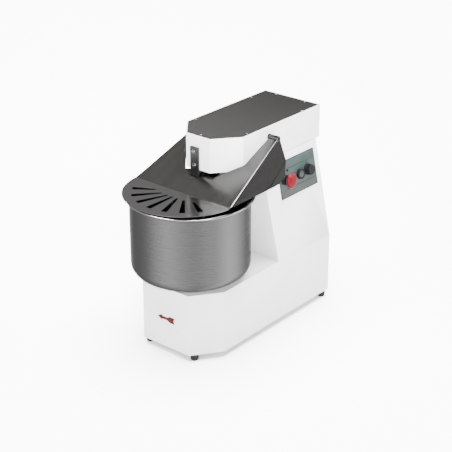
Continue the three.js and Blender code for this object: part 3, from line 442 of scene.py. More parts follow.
def oblong(x0, x1, half, radius=0, steps=5):
    """Outline of a rectangle from x0 to x1 with rounded corners."""
    return rounded([(x0, -half, radius), (x1, -half, radius), (x1, half, radius), (x0, half, radius)],
                   True, steps)


def tube(path, radii, sides=20):
    """Round bar along a list of points, with a radius at each point."""
    points = [Vector(p) for p in path]
    rings = []
    normal = None
    for i, point in enumerate(points):
        along = (points[min(i + 1, len(points) - 1)] - points[max(i - 1, 0)]).normalized()
        if normal is None:
            normal = along.orthogonal().normalized()
        normal = (normal - along * normal.dot(along)).normalized()
        across = along.cross(normal)
        angles = [2 * math.pi * k / sides for k in range(sides)]
        rings.append([point + (normal * math.cos(a) + across * math.sin(a)) * radii[i] for a in angles])
    return stack(rings)


def moved(bm, matrix):
    bmesh.ops.transform(bm, matrix=matrix, verts=bm.verts)
    return bm


def merged(*parts):
    """Several bmeshes as one."""
    whole = bmesh.new()
    for part in parts:
        mesh = bpy.data.meshes.new("part")
        part.to_mesh(mesh)
        part.free()
        whole.from_mesh(mesh)
        bpy.data.meshes.remove(mesh)
    return whole


def new_object(name, bm, finishes):
    mesh = bpy.data.meshes.new(name)
    bm.to_mesh(mesh)
    bm.free()
    mesh.transform(Matrix.Scale(MM, 4))
    mesh.shade_smooth()
    for finish in finishes:
        mesh.materials.append(finish.material)
    obj = bpy.data.objects.new(name, mesh)
    scene.collection.objects.link(obj)
    return obj


def register(obj, replaces):
    """The piece rides on the body of the nodes that it replaces, or else on the frame."""
    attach(obj, body_of[replaces[0]] if replaces else "frame")
    if replaces:
        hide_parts(*replaces)


def piece(name, bm, finish, replaces=(), at=(0, 0, 0), turn=None, sharp=32, normals=True, others=()):
    """Puts a shape, in millimetres about the point at, in the scene. A finish may be given by name."""
    finish = FINISHES.get(finish, finish)
    bmesh.ops.recalc_face_normals(bm, faces=bm.faces)
    obj = new_object(name, bm, (finish, *others))
    obj.data.set_sharp_from_angle(angle=math.radians(sharp))
    place = Matrix.Translation(Vector(at) * MM)
    obj.matrix_world = place @ turn.to_4x4() if turn else place
    register(obj, replaces)
    if normals:
        add_normals(obj)
    return obj


def add_normals(obj):
    obj.modifiers.new("normals", "WEIGHTED_NORMAL").keep_sharp = True


def add_bevel(obj, width, segments=3, angle=25):
    bevel = obj.modifiers.new("edges", "BEVEL")
    bevel.width = width * MM
    bevel.segments = segments
    bevel.limit_method = "ANGLE"
    bevel.angle_limit = math.radians(angle)
    bevel.miter_outer = "MITER_ARC"


def copied(node, merge_flats=True):
    """The CAD node's shape in millimetres, normally with its triangles merged back into flat faces."""
    bm = bmesh.new()
    bm.from_mesh(frame["nodes"][node].data)
    moved(bm, Matrix.Scale(1 / MM, 4))
    bmesh.ops.remove_doubles(bm, verts=bm.verts, dist=0.002)
    if merge_flats:
        bmesh.ops.dissolve_limit(bm, angle_limit=math.radians(0.6), verts=bm.verts, edges=bm.edges)
    return bm


def bend(bm, radius, test, segments=4):
    """Rounds the convex edges that pass the test, as a press brake does."""
    chosen = [e for e in bm.edges if len(e.link_faces) == 2 and e.is_convex
              and e.calc_face_angle(0) > math.radians(15) and test(e)]
    bmesh.ops.bevel(bm, geom=chosen, offset=radius, offset_type="OFFSET", segments=segments, profile=0.5,
                    affect="EDGES", clamp_overlap=True)
    return bm


def edge_middle(edge):
    return (edge.verts[0].co + edge.verts[1].co) / 2


# ---------------- casings
BEND = 2.6  # outside radius of a bend in the painted sheet
base_low, base_high = box_mm("base_shell")
head_low, head_high = box_mm("head_shell")
column_high = box_mm("column_shell")[1]
CHAMFERS = {base_low.x: (57.2, 79.4), head_low.x: (56.0, 67.8)}  # cut off each front corner, by casing
column_foot = Vector((base_high.x, base_high.z))
column_neck = Vector((head_high.x - 0.8, head_low.z))
# Strip between the head and the column. Its top and foot are measured down from the head.
SEAM = {"front_y": 38.3, "side": 0.5, "rear_gap": 24.5, "width": 6, "rear_width": 5.5, "top": 0.02,
        "foot": 0.55}


def column_share(z):
    """How far up the column casing a height is, from 0 at its foot to 1 at the head."""
    return (z - column_foot.y) / (column_neck.y - column_foot.y)


def column_half(z):
    """Half width of the tapering column casing at a height."""
    return column_foot.x + (column_neck.x - column_foot.x) * column_share(z)


def on_outside(edge, low, high, slack=0.4):
    """True for an edge on the outer side faces of a box-like casing with cut-off front corners."""
    point = edge_middle(edge)
    chamfer_x, chamfer_y = CHAMFERS[low.x]
    corner = (abs(point.x) - (high.x - chamfer_x)) / chamfer_x - (point.y - low.y) / chamfer_y
    return (abs(abs(point.x) - high.x) < slack or abs(point.y - low.y) < slack
            or abs(point.y - high.y) < slack or abs(corner) < 0.02)


def build_casings():
    paint = "white_paint"
    base = bend(copied("base_shell"), BEND, lambda e: on_outside(e, base_low, base_high)
                and edge_middle(e).z > base_low.z + 1)
    add_bevel(piece("base_casing", base, paint, ["base_shell"]), 0.5, 2)
    head = bend(copied("head_shell"), BEND, lambda e: on_outside(e, head_low, head_high)
                and edge_middle(e).z < head_high.z - 1)
    add_bevel(piece("head_casing", head, paint, ["head_shell"]), 0.5, 2)

    def column_corner(edge):
        point = edge_middle(edge)
        direction = (edge.verts[1].co - edge.verts[0].co).normalized()
        on_side = abs(abs(point.x) - column_half(point.z)) < 0.8
        return on_side and abs(direction.z) > 0.9 and edge.calc_length() > 150

    column = bend(copied("column_shell"), BEND, column_corner)
    add_bevel(piece("column_casing", column, paint, ["column_shell"]), 0.4, 2)
    for name, node, width in (("column_front", "column_front_panel", 0.8), ("floor_plate", "base_floor", 0.4),
                              ("breaker_backing", "breaker_backing_plate", 0.3)):
        add_bevel(piece(name, copied(node), paint, [node]), width, 2)
    # A flat face with as many slots as the rear cover's does not merge cleanly.
    piece("rear_panel", copied("rear_cover", merge_flats=False), paint, ["rear_cover"])
    top = piece("head_top_plate", copied("head_top_cover"), COVER_STEEL, ["head_top_cover"])
    add_bevel(top, 0.4, 2)


def build_head_seam():
    """Thin sealing strip that shows between the head and the column."""
    half, front, rear = column_neck.x + SEAM["side"], SEAM["front_y"], column_high.y - SEAM["rear_gap"]
    inner_half, inner_front = half - SEAM["width"], front + SEAM["width"]
    inner_rear = rear - SEAM["rear_width"]
    outer = [(-half, front), (half, front), (half, rear), (-half, rear)]
    inner = [(-inner_half, inner_front), (inner_half, inner_front), (inner_half, inner_rear),
             (-inner_half, inner_rear)]
    walls = []
    for i in range(4):
        j = (i + 1) % 4
        walls.append(stack([[(x, y, head_low.z - drop) for x, y in (outer[i], outer[j], inner[j], inner[i])]
                            for drop in (SEAM["foot"], SEAM["top"])]))
    piece("head_seam", merged(*walls), "black_rubber")


build_casings()
build_head_seam()


# ---------------- feet
def build_feet():
    for corner in ("front_left", "front_right", "rear_left", "rear_right"):
        node = f"foot_{corner}"
        low, high = box_mm(node)
        radius = (high.x - low.x) / 2
        shape = turned([(0, 0), (radius - 2.4, 0, 1.6), (radius - 0.7, 4, 2), (radius, high.z, 0.8),
                        (0, high.z)], 64)
        centre = middle(node)
        piece(f"rubber_{node}", shape, "black_rubber", [node], (centre.x, centre.y, 0))


build_feet()


# ---------------- bowl
def build_bowl():
    low, high = box_mm("bowl")
    centre = middle("bowl")
    rim = (high.x - low.x) / 2 + 0.4
    bead, wall, corner = 4.1, 1.8, 30
    outer = rim - 11
    inner = outer - wall
    bead_x, bead_z = rim - bead, high.z - bead + 0.3
    profile = rounded([(0, low.z), (outer, low.z, corner), (outer, bead_z - 7.5, 6),
                       (bead_x - 1.6, bead_z - 3.6)], False, 14)
    profile += arc((bead_x, bead_z), bead, -100, 165, 18)
    profile += rounded([(bead_x - 4.4, bead_z + 0.6), (inner + 1.2, bead_z - 1.5, 3), (inner, bead_z - 9, 8),
                        (inner, low.z + wall, corner - wall), (0, low.z + wall)], False, 14)
    shell = lathe(profile, 192)
    # The top of the bead is near-black steel, painted shade; its lower half is the brighter polished steel,
    # partly real polish and partly painted highlight.
    for face in shell.faces:
        point = face.calc_center_median()
        if point.z > bead_z - bead - 0.2 and math.hypot(*point.xy) > inner + 4:
            face.material_index = 1 if point.z > bead_z + bead / 2 else 2
    piece("bowl_spun", shell, "bowl_steel", ["bowl"], (centre.x, centre.y, 0), sharp=40,
          others=[BEAD_SHADE_STEEL, POLISH_AND_HIGHLIGHT_STEEL])

    low, high = box_mm("bowl_spindle")
    flange = (high.x - low.x) / 2
    shaft, shoulder, shoulder_foot, under = 15, 25, 196.2, 203
    shape = turned([(0, low.z), (shaft, low.z, 1), (shaft, shoulder_foot), (shoulder, shoulder_foot),
                    (shoulder, under, 2), (flange, under, 1.5), (flange, high.z, 1), (0, high.z)])
    piece("bowl_turntable", shape, "turned_steel", ["bowl_spindle"], (centre.x, centre.y, 0))


build_bowl()


# ---------------- guard
GUARD = {"radius": 163.0, "disc_y": -161.5, "bend_y": -173.5, "top": 446.4, "slope": 24.4, "lean": 0.326,
         "rear_y": 60.1, "thickness": 1.5}
SLOT = {"count": 7, "step": 19.5, "near": 49, "near_drift": 3.4, "outer": 139, "wide": 7.6, "narrow": 3.2,
        "corner": 3}
NOTCH = {"front_y": -103.7, "recess_y": -117.5, "recess": (-24.5, 11.0), "side": 100.2, "gap": 3.0}
CREASE = {"foot_y": -14.6, "rear_z": 497.0, "angle": 8.0}  # slight bend across each side flange
HEAD_PLAN = {"front_y": -107.4, "half_front": 40.3, "half": 96.3, "chamfer": 67.8}
FOLD = 1.15  # width taken from each side by the fold between the sloping plate and a flange


def slope_z(y):
    return GUARD["top"] + (y - GUARD["bend_y"]) * math.tan(math.radians(GUARD["slope"]))


def fold_x(z):
    return GUARD["radius"] - 0.8 - (z - GUARD["top"]) * GUARD["lean"]


def slot_outline(step):
    near = SLOT["near"] + SLOT["near_drift"] * step * step
    corner_at, half = SLOT["outer"] - SLOT["corner"], SLOT["wide"] - SLOT["corner"]
    outline = [*arc((corner_at, -half), SLOT["corner"], -90, 0, 4),
               *arc((corner_at, half), SLOT["corner"], 0, 90, 4),
               *arc((near, 0), SLOT["narrow"], 90, 270, 8)]
    turn = Matrix.Rotation(math.radians(-90 + step * SLOT["step"]), 2)
    return [tuple(turn @ Vector(p) + Vector((0, GUARD["disc_y"]))) for p in outline]


def notch_outline():
    """Right to left round the head, seen from above."""
    depth = HEAD_PLAN["half"] - HEAD_PLAN["half_front"]
    run = depth / HEAD_PLAN["chamfer"]
    per_gap = math.hypot(depth, HEAD_PLAN["chamfer"]) / depth
    front, back, side = NOTCH["front_y"], NOTCH["recess_y"], NOTCH["side"]
    left, right = NOTCH["recess"]
    front_x = HEAD_PLAN["half_front"] + (front - HEAD_PLAN["front_y"] + NOTCH["gap"] * per_gap) * run
    side_y = front + (side - front_x) / run
    return [(side, side_y, 6), (front_x, front, 6), (right, front, 2), (right, back, 3), (left, back, 3),
            (left, front, 2), (-front_x, front, 6), (-side, side_y, 6)]


def fill(bm, outer, holes=()):
    """Flat face with holes, from existing vertices."""
    loops = [outer, *holes]
    flat = [v for loop in loops for v in loop]
    for triangle in tessellate_polygon([[v.co for v in loop] for loop in loops]):
        vertices = [flat[i] for i in triangle]
        if len(set(vertices)) == 3:
            bm.faces.new(vertices)


def add_slotted_disc(bm, corner):
    """Level plate over the bowl, round in front and straight along the bend."""
    centre, radius, top = (0, GUARD["disc_y"]), GUARD["radius"], GUARD["top"]
    reach = math.degrees(math.asin((GUARD["bend_y"] - GUARD["disc_y"]) / radius))
    edge = arc(centre, radius, -180 - reach, reach, 120)[1:-1]
    rim = [corner[-1], *[bm.verts.new((x, y, top)) for x, y in edge], corner[1]]
    steps = [i - (SLOT["count"] - 1) / 2 for i in range(SLOT["count"])]
    fill(bm, rim, [[bm.verts.new((x, y, top)) for x, y in slot_outline(step)] for step in steps])


def add_slope(bm, corner, peak):
    """Sloping plate, notched for the head."""
    side, rear = NOTCH["side"], GUARD["rear_y"]
    notch = [bm.verts.new((x, y, slope_z(y)))
             for x, y in rounded([(side, rear), *notch_outline(), (-side, rear)], False, 4)]
    fill(bm, [corner[-1], corner[1], peak[1], *notch, peak[-1]])


def add_flange(bm, side, corner, peak):
    """Side flange, slightly creased. Gives the two ends of the crease."""
    bend_y, top, rear = GUARD["bend_y"], GUARD["top"], GUARD["rear_y"]
    outline = rounded([(bend_y, top), (33.5, top, 10), (64.5, top + 11.6, 12), (78.5, top + 50.6, 8),
                       (75, top + 99.6, 4), (73.5, top + 109, 2), (rear + 1, slope_z(rear) + 1.5)],
                      False, 4)[1:]
    lower = bm.verts.new((side * fold_x(top), CREASE["foot_y"], top))
    rim = [bm.verts.new((side * fold_x(z), y, z)) for y, z in outline]
    knee = min(range(len(outline)),
               key=lambda i: abs(outline[i][1] - CREASE["rear_z"]) - outline[i][0] / 50)
    fill(bm, [corner, lower, *rim[knee:], peak])
    fill(bm, [lower, *rim[:knee + 1]])
    turn = Matrix.Rotation(math.radians(CREASE["angle"]) * side, 3, (rim[knee].co - lower.co).normalized())
    for vertex in rim[:knee]:
        vertex.co = lower.co + turn @ (vertex.co - lower.co)
    return lower, rim[knee]


def edges_between(bm, a, b):
    """The long edge on the line from a to b, also after its ends were moved along it."""
    axis = (b - a).normalized()
    return [e for e in bm.edges if e.calc_length() > 20
            and all((v.co - a).cross(axis).length < 0.05 for v in e.verts)]


def build_guard():
    bm = bmesh.new()
    bend_y, top, rear = GUARD["bend_y"], GUARD["top"], GUARD["rear_y"]
    corner = {side: bm.verts.new((side * fold_x(top), bend_y, top)) for side in (-1, 1)}
    add_slotted_disc(bm, corner)
    peak = {side: bm.verts.new((side * fold_x(slope_z(rear)), rear, slope_z(rear))) for side in (-1, 1)}
    add_slope(bm, corner, peak)
    crease = {side: add_flange(bm, side, corner[side], peak[side]) for side in (-1, 1)}
    bmesh.ops.recalc_face_normals(bm, faces=bm.faces)
    bmesh.ops.dissolve_limit(bm, angle_limit=math.radians(0.3), verts=bm.verts, edges=bm.edges,
                             delimit={"NORMAL"})
    # Each fold: its two ends, the width that it takes from each side, and its finish. The side folds take a
    # brighter steel, a painted highlight, and the creases a near-black steel, painted shade.
    folds = ((corner[-1], corner[1], 7, 0), (corner[1], peak[1], FOLD, 2), (corner[-1], peak[-1], FOLD, 2),
             (*crease[1], 1.9, 3), (*crease[-1], 1.9, 3))
    for start, end, width, finish in [(a.co.copy(), b.co.copy(), *rest) for a, b, *rest in folds]:
        made = bmesh.ops.bevel(bm, geom=edges_between(bm, start, end), offset=width, offset_type="OFFSET",
                               segments=5, profile=0.5, affect="EDGES", clamp_overlap=False)
        for face in made["faces"]:
            face.material_index = finish
    bmesh.ops.recalc_face_normals(bm, faces=bm.faces)
    if sum(face.normal.z * face.calc_area() for face in bm.faces) < 0:
        bmesh.ops.reverse_faces(bm, faces=bm.faces)
    finishes = [GUARD_STEEL, EDGE_STEEL, FOLD_HIGHLIGHT_STEEL, CREASE_SHADE_STEEL]
    sheet_piece("guard_sheet", bm, finishes, ["bowl_guard"], GUARD["thickness"])


def sheet_piece(name, bm, finishes, replaces, thickness):
    """A sheet given by its outer surface, thickened behind it. The second finish is that of its edges."""
    obj = new_object(name, bm, finishes)
    solidify = obj.modifiers.new("thickness", "SOLIDIFY")
    solidify.thickness = thickness * MM
    solidify.offset = -1
    solidify.use_even_offset = True
    solidify.material_offset_rim = 1
    add_bevel(obj, 0.25, 2, 60)
    obj.data.set_sharp_from_angle(angle=math.radians(32))
    register(obj, replaces)
    add_normals(obj)


build_guard()


# Turns that point local +Z to the front, the back or down.
FACING_FRONT = Matrix.Rotation(math.pi / 2, 3, "X")
FACING_BACK = Matrix.Rotation(-math.pi / 2, 3, "X")
FACING_DOWN = Matrix.Rotation(math.pi, 3, "X")


def along_x(side):
    """Turns local +Z to the side's outward X."""
    return Matrix.Rotation(side * math.pi / 2, 3, "Y")


def build_pivots():
    stub, bore, length_inside = 5, 5.3, 24
    for side, sign in (("left", -1), ("right", 1)):
        node = f"guard_pivot_{side}"
        low, high = box_mm(node)
        centre = middle(node)
        start, end = sorted((abs(low.x), abs(high.x)))
        sleeve = (high.z - low.z) / 2
        inner = start + length_inside
        shape = turned([(0, start), (stub, start, 0.8), (stub, inner), (sleeve, inner, 0.7), (sleeve, end, 1),
                        (4.8, end, 0.5), (4.8, end - 9), (0, end - 9)], 64, 3)
        place = (0, centre.y, centre.z), along_x(sign)
        piece(f"guard_sleeve_{side}", shape, SLEEVE_STEEL, [node], *place)
        node = f"guard_bush_{side}"
        start, end = sorted(abs(corner.x) for corner in box_mm(node))
        shape = turned([(bore, start), (12, start, 0.6), (12, start + 3.4, 0.6), (7.6, start + 3.4),
                        (7.6, end, 0.3), (bore, end)], 48, 3, True)
        piece(f"pivot_bush_{side}", shape, "black_plastic", [node], *place)


build_pivots()


# ---------------- spiral and breaker bar
def smoothstep(value, low, high):
    t = min(1, max(0, (value - low) / (high - low)))
    return t * t * (3 - 2 * t)


def build_spiral():
    """A straight start under the flange that widens into the coil, then a foot drawn in towards the axis."""
    axis = Vector((0, -43.5, 0))
    coil, rod, turns = 48, 7.5, 1.6
    start, top, bottom = 470, 392, 228.5  # heights
    lead, foot, steps = 0.24, 0.86, 260  # shares of the length: where the coil is wide, where the foot starts
    points, radii = [], []
    for i in range(steps + 1):
        t = i / steps
        radius = coil * smoothstep(t, 0, lead) * (1 - 0.3 * smoothstep(t, foot, 1))
        angle = 2 * math.pi * turns * t
        z = start + (top - start) * t / lead if t < lead else top + (bottom - top) * (t - lead) / (1 - lead)
        points.append((radius * math.cos(angle), radius * math.sin(angle), z))
        to_end = (1 - t) * turns * 2 * math.pi * coil
        radii.append(rod * math.sqrt(max(0.04, 1 - (1 - min(1, to_end / rod)) ** 2)))
    flange, flange_top = 28, box_mm("spiral_tool")[1].z
    neck = turned([(0, 448), (11, 452, 3), (15, 466, 4), (15, start, 2), (flange, start, 1.2),
                   (flange, flange_top, 0.8), (0, flange_top)], 72, 4)
    screws = [hex_bolt(5, 2.6, Vector((21 * math.cos(a), 21 * math.sin(a), 466.2)), FACING_DOWN)
              for a in (math.pi / 4 + k * math.pi / 2 for k in range(4))]
    piece("spiral_hook", merged(tube(points, radii, 28), neck, *screws), "stainless", ["spiral_tool"], axis,
          sharp=40)
    shaft = turned([(0, 474), (flange, 474, 0.8), (flange, 482, 0.8), (14, 482), (14, 493.5), (12.5, 493.5),
                    (12.5, 568, 1), (0, 568)], 72)
    piece("spiral_spindle", shaft, "turned_steel", ["spiral_shaft"], axis)


def hex_bolt(head, height, at, turn, washer=0.0):
    """Hexagon head with a chamfered top and a washer face, along local +Z from the point at."""
    base = 1.0 if washer else 0.0
    corner = head * 2 / math.sqrt(3)
    hexagon = [Vector(p) for p in arc((0, 0), corner, 0, 300, 5)]
    dense = [hexagon[i].lerp(hexagon[(i + 1) % 6], k / 6) for i in range(6) for k in range(6)]
    rings = []
    for z, limit in ((base, corner), (base + height * 0.8, corner), (base + height, head * 0.96)):
        ring = []
        for x, y in dense:
            length = math.hypot(x, y)
            share = min(1, limit / length)
            chamfered = limit == corner and z >= base + height * 0.5
            ring.append((x * share, y * share, z - (max(0, (length - head) * 0.5) if chamfered else 0)))
        rings.append(ring)
    bm = stack(rings)
    if washer:
        bm = merged(bm, turned([(0, 0), (washer, 0, 0.2), (washer, base, 0.3), (0, base)], 40, 2))
    return moved(bm, Matrix.Translation(at) @ turn.to_4x4())


def build_breaker():
    add_bevel(piece("breaker_blade", copied("breaker_bar"), "stainless", ["breaker_bar"]), 0.8, 3, 40)
    for level in ("upper", "lower"):
        node = f"breaker_bolt_{level}"
        low, high = box_mm(node)
        centre = middle(node)
        head = hex_bolt(5.0, 2.8, Vector((centre.x, low.y + 3.8, centre.z)), FACING_FRONT, 6.4)
        shank = moved(lathe([(0, 0), (4, 0), (4, 16), (0, 16)], 40),
                      Matrix.Translation((centre.x, high.y, centre.z)) @ FACING_FRONT.to_4x4())
        piece(f"bolt_{level}", merged(head, shank), SCREW_STEEL, [node])
    stop = piece("guard_stop_strip", copied("guard_stop_plate"), "stainless", ["guard_stop_plate"])
    add_bevel(stop, 0.4, 2, 40)


build_spiral()
build_breaker()


# ---------------- controls on the right side wall
TILT = math.atan2(column_foot.x - column_neck.x, column_neck.y - column_foot.y)
WALL_TURN = Matrix.Rotation(math.pi / 2 - TILT, 3, "Y")
FACE = 2.1  # front face of the control panel above the wall


def on_wall(up, y):
    """Point of the wall at a height up along it from the fold. Local -X there is up the wall."""
    return Vector((column_foot.x, y, column_foot.y)) + WALL_TURN @ Vector((-up, 0, 0))


ESTOP, START, TIMER, PILOT = (219, 124.5), (216, 191.5), (219, 226.5), (242, 139.5)
BEZEL_RADIUS, BEZEL_HEIGHT = 14.5, 9
ESTOP_STEM = 16  # how far the mushroom's foot stands off the panel


def contact_block(width, depth, front):
    return slab(oblong(-width / 2, width / 2, 15, 2), -depth, front, 0.8)


def build_controls():
    panel = piece("control_plate", copied("control_panel"), "panel_aluminium", ["control_panel"])
    add_bevel(panel, 0.35, 2, 40)

    def control(name, bm, node, place, finish="black_plastic", sharp=32):
        piece(name, bm, finish, [node], on_wall(*place), WALL_TURN, sharp)

    def collar(bore, bottom=-16, radius=BEZEL_RADIUS, height=BEZEL_HEIGHT):
        return turned([(bore, bottom), (10.8, bottom), (10.8, FACE), (radius, FACE, 0.4),
                       (radius, FACE + height, 1.6), (bore + 1.2, FACE + height, 0.4),
                       (bore, FACE + height - 1.2)], 72, 4, True)

    control("estop_collar", merged(collar(7.6, -17.5), contact_block(36, 46, -17.6)), "estop_body", ESTOP)
    stem_top = FACE + ESTOP_STEM
    stem = turned([(0, -13), (7, -13, 0.5), (7, stem_top - 2.6), (10.6, stem_top - 0.4, 0.3),
                   (10.6, stem_top), (0, stem_top)], 64, 3)
    control("estop_neck", stem, "estop_stem", ESTOP)
    foot = stem_top + 0.3
    cap = turned([(0, foot), (11, foot, 0.8), (12.6, foot + 3.4, 2), (19.8, foot + 4.6, 1.4),
                  (21, foot + 8, 2), (19.6, foot + 12.2, 4), (10, foot + 15, 12), (0, foot + 15.2)], 96, 6)
    control("estop_head_cap", cap, "estop_mushroom", ESTOP, "red_plastic", 50)

    control("start_ring", merged(collar(10), contact_block(36, 34, -16.2)), "start_bezel", START)
    face = FACE + BEZEL_HEIGHT - 1
    disc = turned([(0, -8), (9.5, -8, 0.4), (9.5, face, 0.7), (7.6, face, 0.3), (7.2, face - 0.5, 0.3),
                   (0, face - 0.5)], 72, 3)
    control("start_cap", disc, "start_button", START, "grey_plastic")

    timer = merged(collar(3.6, radius=16, height=4), contact_block(32, 34, -16.2))
    control("timer_collar", timer, "timer_body", TIMER)
    control("timer_grip", timer_knob(), "timer_knob", TIMER, sharp=40)
    lens = turned([(0, -4), (2.3, -4), (2.3, FACE), (4, FACE, 0.2), (3.7, FACE + 1.4, 0.5),
                   (1.6, FACE + 2.2, 1), (0, FACE + 2.3)], 48, 4)
    control("pilot_lamp", lens, "pilot_lens", PILOT, sharp=50)


def timer_knob():
    """Fluted knob on a skirt, with a raised pointer towards the top of the scale."""
    foot = FACE + 4.3
    radius, flute, flutes, fineness = 14.4, 0.55, 24, 8
    rings = []
    for share, z in ((1.0, foot + 2.4), (0.985, foot + 12.2), (0.96, foot + 13.2), (0.91, foot + 13.9)):
        ring = []
        for i in range(flutes * fineness):
            angle = 2 * math.pi * i / (flutes * fineness)
            reach = (radius + flute * math.cos(flutes * angle)) * share
            ring.append((reach * math.cos(angle), reach * math.sin(angle), z))
        rings.append(ring)
    skirt = turned([(0, foot), (15.5, foot, 0.5), (15.5, foot + 2, 0.8), (13, foot + 2.5),
                    (0, foot + 2.5)], 96, 3)
    spindle = lathe([(0, -8), (3, -8), (3, foot + 1), (0, foot + 1)], 32)
    pointer = slab(oblong(-13, 3, 0.9, 0.6), foot + 13.4, foot + 14.6, 0.3)
    return merged(stack(rings), skirt, spindle, pointer)


def build_panel_print():
    """Lines, a clock above the timer, a rating plate's outline and the panel's border, as thin printed film.

    Points are (minus the height up the wall, place along Y).
    """
    z0, z1 = FACE - 0.02, FACE + 0.06
    marks = []

    def line(first, second, width):
        a, b = Vector(first), Vector(second)
        side = Vector((-(b - a).y, (b - a).x)).normalized() * width / 2
        marks.append(stack([[(p.x, p.y, z) for p in (a - side, b - side, b + side, a + side)]
                            for z in (z0, z1)]))

    def closed(corners, width):
        for i, corner in enumerate(corners):
            line(corners[i - 1], corner, width)

    for x, front_y, rear_y in ((-246.5, 141, 261.5), (-189.5, 130, 265.5)):
        line((x, front_y), (x, rear_y), 1.7)
    closed([(-166.6, 107.4), (-166.6, 268.2), (-270.4, 260.2), (-270.4, 99.4)], 2.0)
    clock, radius, width = Vector((-240.5, 226.5)), 3.6, 0.9
    inner, outer = radius - width / 2, radius + width / 2
    marks.append(moved(lathe([(inner, z0), (outer, z0), (outer, z1), (inner, z1)], 40),
                       Matrix.Translation(clock.to_3d())))
    for hand in ((-1.8, 0), (0, 1.6)):
        line(clock, clock + Vector(hand), 0.8)
    closed([(-262, 203), (-252, 203), (-252, 258), (-262, 258)], 0.7)
    for x, front_y, rear_y, width in ((-257, 208, 233, 1.1), (-259.5, 238, 253, 0.8),
                                      (-254.8, 238, 250, 0.8)):
        line((x, front_y), (x, rear_y), width)
    timer = Vector((-TIMER[0], TIMER[1]))
    for k in range(11):
        angle = math.radians(-150 + 30 * k)
        direction = Vector((-math.cos(angle), math.sin(angle)))
        line(timer + direction * 17.4, timer + direction * (19.6 if k % 5 else 20.6), 0.6)
    piece("panel_print", merged(*marks), PRINT_AND_RECESS_SHADE, (), on_wall(0, 0), WALL_TURN, normals=False)


build_controls()
build_panel_print()


# ---------------- small fixings
def pan_screw(at, turn, radius):
    """Pan head with a cross recess, drawn as a dark cross that stands on the dome: painted shade."""
    height = radius * 0.62
    dome = [(0, -0.6), (radius, -0.6), (radius, height * 0.25)]
    dome += [(radius * math.cos(a), height * 0.25 + height * 0.75 * math.sin(a))
             for a in (math.pi / 2 * k / 6 for k in range(1, 6))]
    dome.append((0, height))
    reach = radius * 0.55
    arms = [moved(slab(oblong(-reach, reach, 0.35), height * 0.55, height + 0.02, 0.02),
                  Matrix.Rotation(math.pi / 4 + k * math.pi / 2, 4, "Z")) for k in range(2)]
    place = Matrix.Translation(at) @ turn.to_4x4()
    return moved(lathe(dome, 32), place), moved(merged(*arms), place)


def mirrored(*places):
    """Each place on the left and on the right."""
    return [(side * x, y) for x, y in places for side in (-1, 1)]


# The rear cover leans forward by the setback over its rise.
COVER_SETBACK, COVER_RISE = 24, 290.8


def build_screws():
    heads, recess_shades = [], []

    def add(at, turn, radius=3.4):
        head, cross = pan_screw(Vector(at), turn, radius)
        heads.append(head)
        recess_shades.append(cross)

    top = box_mm("head_top_cover")[1].z
    for x, y in ((0, -94.5), *mirrored((88, -14.5), (88, 220.5), (50, 285))):
        add((x, y, top), Matrix.Identity(3), 2.6)
    rear_low, rear_high = box_mm("rear_cover")
    back = Matrix.Rotation(-math.pi / 2 + math.atan2(COVER_SETBACK, COVER_RISE), 3, "X")
    for z in (rear_low.z + 12, (rear_low.z + rear_high.z) / 2, rear_high.z - 12):
        y = base_high.y - COVER_SETBACK * column_share(z) + 1.8
        for x, y in mirrored((column_half(z) - 13, y)):
            add((x, y, z), back)
    for x, y in mirrored((125, -140), (125, 60), (125, 240), (40, -232), (40, 293)):
        add((x, y, base_low.z), FACING_DOWN)
    piece("cover_screws", merged(*heads), SCREW_STEEL, sharp=50)
    # Dark crosses on the screw heads stand for the shade in their recesses: painted shade.
    piece("screw_recess_shades", merged(*recess_shades), PRINT_AND_RECESS_SHADE)


def build_gland():
    high = box_mm("cable_gland")[1]
    centre = middle("cable_gland")
    wall, bore = base_high.y, 4.6
    length = high.y - wall
    nut = [(*point, 1) for point in arc((0, 0), 13, 0, 300, 5)]
    body = slab(rounded(nut, True, 2), 0.6, 8, 0.6)
    cap = turned([(bore, 6), (11.4, 6), (11.4, 13.5, 1), (9.2, length, 1.4), (bore, length, 0.8)],
                 64, 4, True)
    ribs = [moved(slab(oblong(-0.7, 0.7, 0.6, 0.3, 2), 8, 13.2, 0.2),
                  Matrix.Rotation(math.pi / 6 * k, 4, "Z") @ Matrix.Translation((11.3, 0, 0)))
            for k in range(12)]
    barrel = lathe([(bore, -14), (10, -14), (10, 1), (bore, 1)], 48)
    piece("gland", merged(body, cap, barrel, *ribs), "black_plastic", ["cable_gland"],
          (centre.x, wall, centre.z), FACING_BACK)


def build_arrow():
    """Film arrow that shows which way the bowl turns, the same above and below its middle line."""
    upper = [(-14, 9, 1), (-14, 4.2, 1), (4, 4.2, 1), (12, 9, 1), (31, 9, 1)]
    lower = [(x, -y, radius) for x, y, radius in upper]
    outline = rounded([(-31, 0, 0.6), *lower, (26, 0, 1), *upper[::-1]])
    piece("arrow_film", slab(outline, -0.2, 0.2, 0.05), "red_film", ["rotation_arrow"],
          middle("rotation_arrow"), FACING_FRONT)


build_screws()
build_gland()
build_arrow()


# ---------------- pieces kept as the CAD made them
def dress_cad_nodes():
    for name, node in frame["nodes"].items():
        if node.hide_render:
            continue
        node.data.materials.clear()
        node.data.materials.append(FINISHES[slot_of[name]].material)
        node.modifiers.new("weld", "WELD").merge_threshold = 0.002 * MM
        add_bevel(node, 0.35, 2, 35)


dress_cad_nodes()


# ---------------- studio
def add_floor():
    bm = bmesh.new()
    bmesh.ops.create_circle(bm, cap_ends=True, radius=30 / MM, segments=96)
    pale = Finish("floor", (0.93, 0.93, 0.93), 0.9, Specular_IOR_Level=0.1)
    floor = new_object("floor", bm, [pale])
    floor.visible_glossy = False


